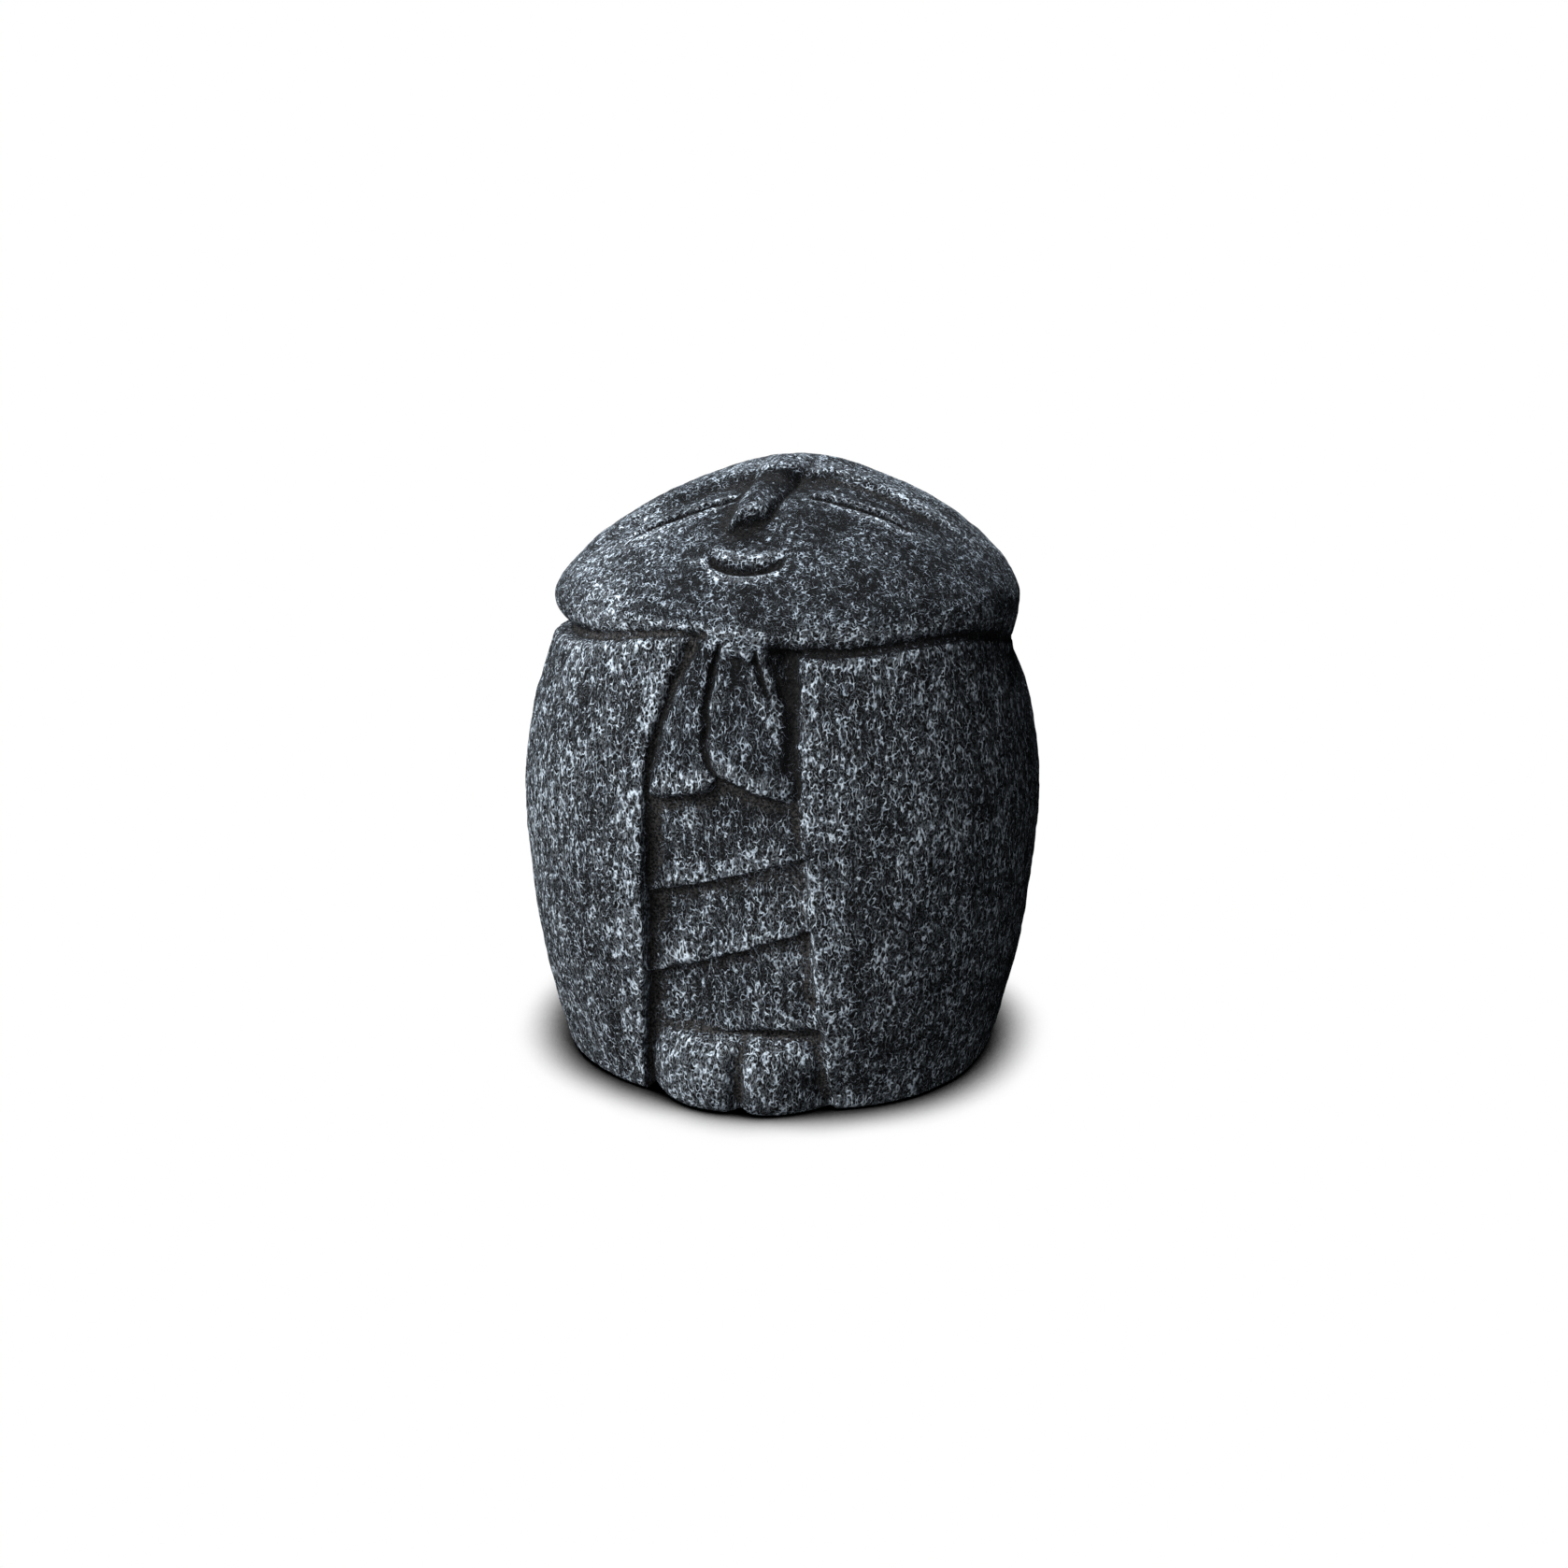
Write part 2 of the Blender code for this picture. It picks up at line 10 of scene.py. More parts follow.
import bpy
import numpy as np
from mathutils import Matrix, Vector


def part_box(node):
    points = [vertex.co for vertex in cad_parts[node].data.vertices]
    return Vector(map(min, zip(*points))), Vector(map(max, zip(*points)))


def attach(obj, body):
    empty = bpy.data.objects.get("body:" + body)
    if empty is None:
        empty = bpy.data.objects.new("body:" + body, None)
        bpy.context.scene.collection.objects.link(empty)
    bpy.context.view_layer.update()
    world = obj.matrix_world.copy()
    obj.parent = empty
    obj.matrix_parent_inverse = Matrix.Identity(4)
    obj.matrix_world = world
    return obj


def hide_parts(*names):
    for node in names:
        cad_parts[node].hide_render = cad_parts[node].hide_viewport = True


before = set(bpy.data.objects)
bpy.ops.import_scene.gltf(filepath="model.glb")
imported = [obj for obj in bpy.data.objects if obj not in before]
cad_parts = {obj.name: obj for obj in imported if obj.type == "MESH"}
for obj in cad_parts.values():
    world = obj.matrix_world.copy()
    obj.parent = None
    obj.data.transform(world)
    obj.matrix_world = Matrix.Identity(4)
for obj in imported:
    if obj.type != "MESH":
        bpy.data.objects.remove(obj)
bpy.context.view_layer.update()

# Heights, one above the other, from the ground to the crown
HEM_HEIGHT = 0.0274
LOWER_LAYER = 0.028
MIDDLE_LAYER = 0.026
UPPER_LAYER = 0.0284
SLEEVE_LENGTH = 0.0347
NECK_RISE = 0.0040
RIM_RISE = 0.0105
DOME_HEIGHT = 0.0435
BELLY_HEIGHT = 0.092

# Half widths, seen from the front
BASE_HALF_WIDTH = 0.073
BELLY_HALF_WIDTH = 0.0869
SHOULDER_HALF_WIDTH = 0.0765
HEAD_HALF_WIDTH = 0.0778

# Half depths, seen from the side
BASE_HALF_DEPTH = 0.066
BELLY_HALF_DEPTH = 0.076
SHOULDER_HALF_DEPTH = 0.0680
HEAD_HALF_DEPTH = 0.0695

# Roundness of the sections and of the profile
BODY_SQUARENESS = 2.25
HEAD_SQUARENESS = 2.1
DOME_SQUARENESS = 1.52
LOWER_SWELL = 2.0
UPPER_SWELL = 1.8

# Edges and the groove under the head
BASE_ROUNDING = 0.0025
LEFT_SHOULDER_TURN = 0.0165
FRONT_SHOULDER_TURN = 0.0046
RIGHT_SHOULDER_TURN = 0.0010
LEFT_CHIN_TURN = 0.0175
FRONT_CHIN_TURN = 0.0070
RIGHT_CHIN_TURN = 0.0040
CHIN_DROP = 0.0108
TURN_ANGLE = math.radians(62)
SIDE_SHARPNESS = 4
NECK_TILT = 0.165
NECK_SIDE_TILT = 0.038
NECK_LIFT = 0.0062
NECK_LIFT_ANGLE = math.radians(-12)
NECK_LIFT_SPREAD = math.radians(26)
RIGHT_LIFT = 0.0042
RIGHT_LIFT_ANGLE = math.radians(62)
RIGHT_LIFT_SPREAD = math.radians(26)
NECK_DROP = 0.0046
NECK_DROP_ANGLE = math.radians(104)
NECK_DROP_SPREAD = math.radians(24)
NECK_BEND_REACH = 0.014
GROOVE_FILL = 0.0034
HEAD_LEAN = 0.36
SIDE_LEAN = 0.001
HEAD_SIDE_LEAN = 0.02

# The opening between the robe panels
OPENING_FOOT_FLARE = 0.0028
OPENING_GAP = 0.0020
OPENING_GAP_TOP = 0.0085
OPENING_GAP_CURVE = 3.0
OPENING_RIGHT_FOOT = 0.0358
OPENING_RIGHT_TOP = 0.0250
LEFT_DEPTH = 0.0088
RIGHT_DEPTH = 0.0055
TOP_DEPTH_SHARE = 0.42
RIGHT_WALL = 0.0052

# The wrapped robe inside the opening, each layer lapping over the one below
LAP_STEP = 0.0026
LAP_LENGTH = 0.022
LAP_EDGE = 0.0007
UPPER_LAP_SLOPE = 0.31
LOWER_LAP_SLOPE = 0.38
HEM_SLOPE = 0.12

# The sleeves that meet under the chin
SLEEVE_PROUD = 0.0014
LEFT_SLEEVE_REACH = 0.0265
LEFT_SLEEVE_DRAW = 0.0180
LEFT_DRAW_CURVE = 2.2
RIGHT_SLEEVE_REACH = 0.0245
RIGHT_SLEEVE_DRAW = 0.0095
RIGHT_DRAW_CURVE = 1.5
SLEEVE_SQUARENESS = 5.0
SLEEVE_CLEFT = 0.0018
CLEFT_LEAN = 0.0044
CLEFT_BEND = 0.0062
CLEFT_CURVE = 0.75
CLEFT_DEPTH = 0.0022
CLEFT_WIDTH = 0.0011
LEFT_FOOT_FALL = 0.16
RIGHT_FOOT_FALL = 0.09
SLEEVE_FOOT_PEAK = 0.0034
SLEEVE_PEAK_WIDTH = 0.0060
SLEEVE_END = 0.0030

# Folds cut into the right sleeve: x at the top, x at the foot, rise of the top, rise of the foot
SLEEVE_FOLDS = ((0.0061, 0.0150, 1.02, 0.62), (0.0108, 0.0192, 1.02, 0.60))
FOLD_DEPTH = 0.0022
FOLD_WIDTH = 0.0009
FOLD_STARTS = (-0.2, 0.1)
FOLD_FADES = (0.6, 1.1)

# The feet
FEET_LEFT = -0.0310
FEET_RIGHT = 0.0335
FEET_CLEFT = 0.0042
FEET_CLEFT_DEPTH = 0.0046
FEET_CLEFT_WIDTH = 0.0026
FEET_SQUARENESS = 3.2
FEET_PROUD = 0.0066
FOOT_HEIGHT = 0.0272
FOOT_BALL_HEIGHT = 0.006
FOOT_TOP_CURVE = 0.5

# The face, laid out from above: x to the side, y from the chin back to the brow
FACE_SKEW = 0.14
BROW_BACK = 0.007
BROW_SWEEP = 0.010
BROW_HALF_SPAN = 0.055
BROW_DIP = 0.0065
BROW_DIP_WIDTH = 0.012
BROW_HEIGHT = 0.0004
BROW_WIDTH = 0.0040
SOCKET_DEPTH = 0.0030
SOCKET_LENGTH = 0.024
SOCKET_EDGE = 0.0090
SOCKET_FLAT = 0.0085
SOCKET_SIDE = 0.038
SOCKET_SIDE_END = 0.069
NOSE_ROOT = 0.0080
NOSE_TIP = -0.0310
NOSE_ROOT_MIDDLE = -0.0022
NOSE_TIP_MIDDLE = -0.0042
NOSE_ROOT_HALF_WIDTH = 0.0088
NOSE_TIP_HALF_WIDTH = 0.0064
NOSE_HEIGHT = 0.0066
NOSE_ROOT_SHARE = 0.55
NOSE_ROUNDNESS = 2.2
NOSE_START = 0.010
NOSE_END = 0.0040
NOSE_END_SLANT = 0.50
EYE_START = 0.010
EYE_END = 0.047
EYE_TAPER = 0.005
EYE_LINE = -0.0165
EYE_FALL = 0.0045
EYE_LINE_DEPTH = 0.0026
EYE_LINE_WIDTH = 0.0011
EYE_LID_SHARE = 0.45
MOUTH_LINE = -0.0506
MOUTH_MIDDLE = -0.0008
MOUTH_HALF_WIDTH = 0.0132
MOUTH_CURVE = 0.0040
MOUTH_DEPTH = 0.0048
MOUTH_WIDTH = 0.0016
LIP_HEIGHT = 0.0008
MOUTH_SQUARENESS = 4
FACE_LOOK = (0.0, -0.55, 0.835)

# The stone: size and height of its lumps, the upright marks of the chisel and the wear of its edges
LUMPS = ((0.0140, 0.00030), (0.0065, 0.00016), (0.0032, 0.00013), (0.0019, 0.00012))
EDGE_WANDER = 0.0005
EDGE_WANDER_SIZE = 0.0060
MARK_WIDTH = 0.0021
MARK_STRETCH = 0.13
MARK_DEPTH = 0.00030
LEDGE_HEIGHT = 0.0085
LEDGE_EDGE = 0.0009
LEDGE_DEPTH = 0.0006
LEDGE_FADE = 3.0
LEDGE_FROM = math.radians(28)
LEDGE_TO = math.radians(36)
LEDGE_END = math.radians(78)

# Random numbers: how many there are, where their lattice starts, how its places mix, and their seeds
NOISE_VALUES = 8192
NOISE_START = 1000.0
NOISE_PRIMES = (73856093, 19349663, 83492791)
WANDER_SEEDS = (11, 12)
LUMP_SEED = 20
MARK_SEED = 30

# Chips and dents: degrees from the front towards +X, height, half width, half height, depth
CHIPS = (
    (-86.0, 0.0640, 0.007, 0.0030, 0.0012),
    (-80.0, 0.0500, 0.006, 0.0022, 0.0010),
    (-84.0, 0.0140, 0.007, 0.0024, 0.0014),
    (-78.0, 0.0255, 0.006, 0.0020, 0.0010),
    (86.0, 0.0620, 0.006, 0.0030, 0.0009),
    (82.0, 0.0390, 0.006, 0.0022, 0.0010),
    (92.0, 0.0930, 0.008, 0.0060, -0.0009),
    (30.5, 0.0080, 0.004, 0.0060, 0.0022),
    (-17.5, 0.0450, 0.003, 0.0014, 0.0006),
)

# The mesh
BACK_COLUMNS = 30
SIDE_COLUMNS = 58
PANEL_COLUMNS = 22
LEFT_WALL_COLUMNS = 6
LEFT_OPENING_COLUMNS = 31
RIGHT_OPENING_COLUMNS = 36
RIGHT_WALL_COLUMNS = 9
PANEL_ANGLE = math.radians(38)
SIDE_ANGLE = math.radians(100)
UNDERSIDE_ROWS = 6
BASE_EDGE_ROWS = 5
ROW_SPACING = 0.00090
LAP_ROWS = 3
NECK_ROWS = 7
CHIN_ROWS = 12
DOME_ROWS = 138
PLAIN_CROWN_ROWS = 3
POLE_SIZE = 0.0000001
FURTHEST_SHARE = 0.95
SHORTEST_NORMAL = 1e-12

# Stations of the profile, from the middle of the underside to the crown: where each part of it begins
BASE_EDGE = 1.0
FLANK = 2.0
SHOULDER = 3.0
NECK = 4.0
RIM = 5.0
CROWN = 6.0

# Stations where the groove's bend has faded, where the face rises and where the stone turns rough
NECK_BEND_END = 5.3
FACE_STARTS = (4.8, 5.1)
ROUGH_STATIONS = (1.0, 2.2)

# Hollowness: over how many grid steps it is taken, and what gives it in millimetres
HOLLOW_REACHES = (2, 4, 7)
MILLIMETRES = 1000.0

# Where the brush took well or hardly, and where light is painted: the panels' edges, partly a painted
# highlight, the valley by the left sleeve, the left groove, painted lighter against its shade
EDGE_COLUMNS = 4
EDGE_BRUSH_AND_HIGHLIGHT_FROM = 0.070
EDGE_BRUSH_AND_HIGHLIGHT_TO = 0.120
EDGE_BRUSH_AND_HIGHLIGHT = 2.0
VALLEY_HOLLOW = 0.30
LEFT_GROOVE_FROM = math.radians(-62)
LEFT_GROOVE_TO = math.radians(-34)
LEFT_GROOVE_PAINTED_LIGHT = 0.75

# Dulled stone and painted shade: the face by station, x and y, with its eye sockets, the sleeves in the
# chin's shade, the layers, painted lighter, and the groove, painted dark
FACE_DULL_AND_SHADE = (4.5, 5.25)
FACE_DULL_AND_SHADE_SIDE = (-0.050, -0.012)
FACE_DULL_AND_SHADE_BACK = (-0.010, 0.010)
HANDS_DULL_AND_SHADE = 1.0
LAYERS_PAINTED_LIGHT = -0.30
GROOVE_PAINTED_SHADE = (-0.020, 0.020)
GROOVE_STATIONS = 0.35
RIDGE_SHINES = (-0.40, -0.16)

# Sizes and strengths of the stone's finish
GRAIN_SIZE = 0.00135
FINE_GRAIN_SIZE = 0.0008
WORM_DETAIL = 0.6
GRAIN_WARP_SIZE = 0.0017
GRAIN_WARP = 0.0004
GRAIN_HALF_WIDTH = 0.088
FINE_GRAIN_SHARE = 0.22
BREAK_SIZE = 0.0019
ROBE_STRETCH = 0.55
SPECK_SIZE = 0.0008
PATCH_SIZE = 0.015
PATCH_DETAIL = 3.0
STREAK_SIZE = 0.0022
STREAK_STRETCH = 0.15
GRAIN_BUMP = 0.00030
PORE_BUMP = 0.00014
DARK_STONE = (0.0055, 0.0056, 0.0060, 1.0)
BROWN_DUST = (0.075, 0.069, 0.065, 1.0)
BRUSHED_GREY = (0.32, 0.375, 0.44, 1.0)
BRUSHED_WHITE = (0.82, 0.90, 0.98, 1.0)
SPECULAR = 0.10
NOISE_MIDDLE = 0.5

# How much of the stone the brush covers, what adds to that or takes from it, painted shade among them, and
# what it adds to a glint
COVER = 0.60
RAISED_COVER = 0.40
SUNK_COVER = 0.50
DULL_AND_SHADE_COVER = 0.27
LEAST_COVER = 0.10
GLINT_COVER = 0.14

# Ramps: where each starts and ends and, unless they are 0 and 1, what it goes from and to
PATCHES = (0.30, 0.70, -0.22, 0.30)
STREAKS = (0.30, 0.70, -0.22, 0.22)
RAISED = (0.03, -0.40)
SUNK = (0.04, 0.40)
WORM_SIDE = (1.0, 0.35)
BREAKS = (0.38, 0.56, 0.05, 1.0)
GLINTS = (0.50, 0.78)
# Fewer glints where the stone is dulled or shade is painted
DULL_AND_SHADE_GLINTS = (0.0, 1.0, 1.0, 0.45)
DUSTY_SPECKS = (0.35, 0.65)
DUSTY_HOLLOWS = (0.0, 1.0, 0.10, 0.95)
# Less dust where the stone is dulled or shade is painted
DUSTY_DULL_AND_SHADE = (0.0, 0.5, 1.0, 0.25)
# Painted shade: deep cuts lose the brush and stay dark, in the mouth, the eyes and under the laps and
# sleeves
DEEP_PAINTED_SHADE = (0.45, 1.10, 1.0, 0.20)
ROUGHNESS = (0.0, 1.0, 0.95, 0.78)

# The camera: where it looks from, what it looks at and how much it takes in
CAMERA_AZIMUTH = math.radians(15)
CAMERA_ELEVATION = math.radians(22)
CAMERA_DISTANCE = 1.2
AIM_HEIGHT = 0.0905
AIM_ASIDE = 0.0009
SENSOR_WIDTH = 36.0
LENS = 80.7
NEAREST_SEEN = 0.01

# The light: degrees from the front towards +X, degrees up, distance, size, power and colour
KEY_LIGHT = (-42.0, 44.0, 1.30, 0.80, 21.5, (0.95, 0.98, 1.0))
FRONT_LIGHT = (6.0, 4.0, 1.30, 0.80, 4.6, (0.92, 0.96, 1.0))
TOP_LIGHT = (-150.0, 60.0, 1.30, 0.60, 19.0, (0.88, 0.94, 1.0))
SKY_STRENGTH = 0.02
SKY_COLOUR = (0.86, 0.91, 1.0, 1.0)
BACKDROP = (1.0, 1.0, 1.0, 1.0)
FLOOR_SIZE = 6.0
SHADOW_REACH = 0.024
SHADOW_DARK = 0.40
SHADOW_CLEAR = 0.92
SHADOW_SAMPLES = 16


def smooth(start, end, value):
    """Smooth rise from 0 at start to 1 at end."""
    share = np.clip((value - start) / (end - start), 0.0, 1.0)
    return share * share * (3.0 - 2.0 * share)


def bell(offset, width):
    """Smooth bell, 1 at no offset and nearly 0 at twice the width."""
    return np.exp(-((offset / width) ** 2))


def ring(angle, half_width, half_depth, squareness):
    """Point of a superellipse at an angle from the front, -Y, towards +X."""
    side = np.abs(np.sin(angle)) / half_width
    front = np.abs(np.cos(angle)) / half_depth
    radius = (side**squareness + front**squareness) ** (-1.0 / squareness)
    return radius * np.sin(angle), -radius * np.cos(angle)


def levels():
    """Heights of the hem, the two laps, the sleeves' foot and the shoulder, each above the last."""
    return np.cumsum((HEM_HEIGHT, LOWER_LAYER, MIDDLE_LAYER, UPPER_LAYER, SLEEVE_LENGTH))


def spread(value, shares, places):
    """Straight runs through the places, one place for each share; a place may differ by vertex."""
    result = places[0]
    for low, high, start, end in zip(shares, shares[1:], places, places[1:]):
        result = result + (end - start) * np.clip((value - low) / (high - low), 0.0, 1.0)
    return result


def stone_noise(points, size, seed):
    """Smooth lattice noise from -1 to 1: random values at the corners of cubes, eased in between."""
    values = np.random.default_rng(seed).uniform(-1.0, 1.0, NOISE_VALUES)
    place = points / size + NOISE_START
    cell = np.floor(place).astype(np.int64)
    share = place - cell
    share = share * share * (3.0 - 2.0 * share)
    total = np.zeros(len(points))
    for corner in np.ndindex(2, 2, 2):
        mixed = (cell + corner) * NOISE_PRIMES
        pick = (mixed[:, 0] ^ mixed[:, 1] ^ mixed[:, 2]) % NOISE_VALUES
        weight = np.prod(np.where(corner, share, 1.0 - share), axis=1)
        total = total + weight * values[pick]
    return total


def swell(height, base, belly, shoulder):
    """Half size of the body at a height: base to belly, then belly to shoulder."""
    below = np.clip(1.0 - height / BELLY_HEIGHT, 0.0, 1.0)
    above = np.clip((height - BELLY_HEIGHT) / (levels()[-1] - BELLY_HEIGHT), 0.0, 1.0)
    lower = (belly - base) * below**LOWER_SWELL
    upper = (belly - shoulder) * above**UPPER_SWELL
    return belly - lower - upper


def body_sizes(height):
    """Half width and half depth of the body at a height."""
    half_width = swell(height, BASE_HALF_WIDTH, BELLY_HALF_WIDTH, SHOULDER_HALF_WIDTH)
    half_depth = swell(height, BASE_HALF_DEPTH, BELLY_HALF_DEPTH, SHOULDER_HALF_DEPTH)
    return half_width, half_depth


def head_sizes(station, chin_turn):
    """Half width, half depth and height of the head: the chin's turn, then the dome."""
    rim_height = levels()[-1] + NECK_RISE + RIM_RISE
    turn = TURN_ANGLE * (1.0 - np.clip(station - NECK, 0.0, 1.0))
    chin_in = chin_turn * (1.0 - np.cos(turn))
    climb = 0.5 * math.pi * np.clip(station - RIM, 0.0, 1.0)
    shrink = np.clip(np.cos(climb), 0.0, 1.0) ** (2.0 / DOME_SQUARENESS)
    rise = DOME_HEIGHT * np.sin(climb) ** (2.0 / DOME_SQUARENESS)
    height = rim_height - CHIN_DROP * np.sin(turn) + rise
    return HEAD_HALF_WIDTH * shrink - chin_in, HEAD_HALF_DEPTH * shrink - chin_in, height


def around(angle, left, front, right):
    """Value that is one thing at the front and back and changes to others at the left and right."""
    left_share = np.maximum(-np.sin(angle), 0.0) ** SIDE_SHARPNESS
    right_share = np.maximum(np.sin(angle), 0.0) ** SIDE_SHARPNESS
    return front + (left - front) * left_share + (right - front) * right_share


def neck_bend(angle):
    """How far the groove under the head strays from its level: up at the front, down behind the right."""
    up = NECK_LIFT * bell(angle - NECK_LIFT_ANGLE, NECK_LIFT_SPREAD)
    up = up + RIGHT_LIFT * bell(angle - RIGHT_LIFT_ANGLE, RIGHT_LIFT_SPREAD)
    return up - NECK_DROP * bell(angle - NECK_DROP_ANGLE, NECK_DROP_SPREAD)


def left_rise(height):
    """Share of the left sleeve's height: 0 at its foot, which hangs lowest at the left, 1 at the chin."""
    foot = levels()[-2] - LEFT_FOOT_FALL * LEFT_SLEEVE_REACH
    return np.clip((height - foot) / (levels()[-1] + NECK_RISE - foot), 0.0, 1.0)


def left_wall(height):
    """Width of the left panel's wall: the gap between panel and sleeve, wider towards the chin."""
    return OPENING_GAP + (OPENING_GAP_TOP - OPENING_GAP) * left_rise(height) ** OPENING_GAP_CURVE


def opening_edges(height):
    """Left and right edge of the robe opening at a height; the left one follows the sleeve."""
    lower, shoulder = levels()[1], levels()[-1]
    flare = OPENING_FOOT_FLARE * np.clip(1.0 - height / lower, 0.0, 1.0)
    left = sleeve_edges(left_rise(height))[0] - left_wall(height) - flare
    right = OPENING_RIGHT_FOOT + (OPENING_RIGHT_TOP - OPENING_RIGHT_FOOT) * height / shoulder
    return left, right


def middle_line(height):
    """Where the two feet and the two sleeves part: from the cleft of the feet to that of the sleeves."""
    hem, sleeve_foot = levels()[0], levels()[-2]
    rise = np.clip((height - sleeve_foot) / (SLEEVE_LENGTH + NECK_RISE), 0.0, 1.0)
    share = smooth(hem, sleeve_foot, height)
    bend = CLEFT_LEAN * rise + CLEFT_BEND * np.sin(math.pi * rise**CLEFT_CURVE)
    return FEET_CLEFT + (SLEEVE_CLEFT - FEET_CLEFT) * share - bend


def line_heights(height, x):
    """Height that a level row takes on at x: it follows the slant of the laps and the sleeves' foot."""
    hem, lower, upper, sleeve_foot, shoulder = levels()
    slopes = (0.0, HEM_SLOPE, LOWER_LAP_SLOPE, UPPER_LAP_SLOPE, 0.0)
    slope = np.interp(height, (0.0, hem, lower, upper, sleeve_foot), slopes)
    arch = np.interp(height, (upper, sleeve_foot, shoulder), (0.0, 1.0, 0.0))
    off = x - SLEEVE_CLEFT
    fall = LEFT_FOOT_FALL * np.maximum(-off, 0.0) + RIGHT_FOOT_FALL * np.maximum(off, 0.0)
    return height + slope * x + arch * (SLEEVE_FOOT_PEAK * bell(off, SLEEVE_PEAK_WIDTH) - fall)


def lap(above):
    """How far a wrapped layer stands out above its lower edge, easing off upwards."""
    return LAP_STEP * smooth(-LAP_EDGE, LAP_EDGE, above) * (1.0 - smooth(0.0, LAP_LENGTH, above))


def lobe(x, left, right, squareness):
    """Rounded swelling from 0 at its edges to 1 between them."""
    off = (x - 0.5 * (left + right)) / (0.5 * (right - left))
    return np.clip(1.0 - np.abs(off) ** squareness, 0.0, 1.0)


def sleeve_edges(rise):
    """Left and right edge of the two sleeves together, drawn in towards the chin."""
    left = -LEFT_SLEEVE_REACH + LEFT_SLEEVE_DRAW * rise**LEFT_DRAW_CURVE
    right = RIGHT_SLEEVE_REACH - RIGHT_SLEEVE_DRAW * rise**RIGHT_DRAW_CURVE
    return left, right


def sleeve_folds(x, rise):
    """Grooves drawn in under the chin, each from a point at its top to a point at its foot."""
    cut = np.zeros_like(x)
    for top_x, foot_x, top, foot in SLEEVE_FOLDS:
        share = (top - rise) / (top - foot)
        line = top_x + (foot_x - top_x) * share
        length = smooth(*FOLD_STARTS, share) * (1.0 - smooth(*FOLD_FADES, share))
        cut = cut + FOLD_DEPTH * length * bell(x - line, FOLD_WIDTH)
    return cut


def sleeves(x, above, cleft, floor):
    """How far both sleeves stand out from the opening's floor, parted by a narrow cleft."""
    rise = np.clip(above / (SLEEVE_LENGTH + NECK_RISE), 0.0, 1.0)
    swelling = (floor + SLEEVE_PROUD) * lobe(x, *sleeve_edges(rise), SLEEVE_SQUARENESS)
    cut = CLEFT_DEPTH * bell(x - cleft, CLEFT_WIDTH) + sleeve_folds(x, rise)
    return np.maximum(swelling - cut, 0.0) * smooth(-0.5 * SLEEVE_END, 0.5 * SLEEVE_END, above)


def feet(x, height, floor):
    """How far both feet stand out from the opening's floor, parted by a soft cleft."""
    up = (height - FOOT_BALL_HEIGHT) / (FOOT_HEIGHT - FOOT_BALL_HEIGHT)
    swelling = (floor + FEET_PROUD) * lobe(x, FEET_LEFT, FEET_RIGHT, FEET_SQUARENESS)
    cut = FEET_CLEFT_DEPTH * bell(x - FEET_CLEFT, FEET_CLEFT_WIDTH)
    return np.maximum(swelling - cut, 0.0) * np.clip(1.0 - up**2, 0.0, 1.0) ** FOOT_TOP_CURVE


def body_carving(x, row, height):
    """Depth carved into the front: the opening, less what stands up inside it.

    Row is the level before it follows the slant of the laps, so each lap is one row.
    """
    hem, lower, upper, sleeve_foot, shoulder = levels()
    left, right = opening_edges(height)
    from_left = smooth(left, left + left_wall(height), x)
    from_right = smooth(right, right - RIGHT_WALL, x)
    share = np.clip((x - left) / (right - left), 0.0, 1.0)
    under_sleeves = smooth(upper, sleeve_foot, height)
    deeper_right = 1.0 - share * smooth(sleeve_foot, shoulder, height)
    shallow = 1.0 - (1.0 - TOP_DEPTH_SHARE) * under_sleeves * deeper_right
    floor = shallow * (LEFT_DEPTH + (RIGHT_DEPTH - LEFT_DEPTH) * share)
    layers = lap(row - hem) + lap(row - lower) + lap(row - upper)
    hands = sleeves(x, row - sleeve_foot, middle_line(height), floor)
    raised = np.maximum(layers, np.maximum(hands, feet(x, height, floor)))
    return from_left * from_right * (floor - raised)


def brow_line(x):
    """How far back the brow lies: a wide arc that dips to the root of the nose."""
    return BROW_BACK - BROW_SWEEP * (x / BROW_HALF_SPAN) ** 2 - BROW_DIP * bell(x, BROW_DIP_WIDTH)


def nose(x, y):
    """Flat-topped ridge from the brow to the tip, rising forwards and cut off askew under the tip."""
    along = np.clip((y - NOSE_ROOT) / (NOSE_TIP - NOSE_ROOT), 0.0, 1.0)
    middle = NOSE_ROOT_MIDDLE + (NOSE_TIP_MIDDLE - NOSE_ROOT_MIDDLE) * along
    half = NOSE_ROOT_HALF_WIDTH + (NOSE_TIP_HALF_WIDTH - NOSE_ROOT_HALF_WIDTH) * along
    across = lobe(x, middle - half, middle + half, NOSE_ROUNDNESS)
    height = NOSE_HEIGHT * (NOSE_ROOT_SHARE + (1.0 - NOSE_ROOT_SHARE) * along)
    start = smooth(NOSE_ROOT + NOSE_START, NOSE_ROOT, y)
    tip = NOSE_TIP + NOSE_END_SLANT * (x - middle)
    return height * across * start * smooth(tip - NOSE_END, tip, y)


def sockets(x, y):
    """Hollow in front of the brow on either side, fading towards the cheek."""
    ahead = brow_line(x) - y
    side = 1.0 - smooth(SOCKET_SIDE, SOCKET_SIDE_END, np.abs(x))
    back_edge = smooth(0.0, SOCKET_EDGE, ahead)
    front_edge = 1.0 - smooth(SOCKET_FLAT, SOCKET_LENGTH, ahead)
    return SOCKET_DEPTH * side * back_edge * front_edge


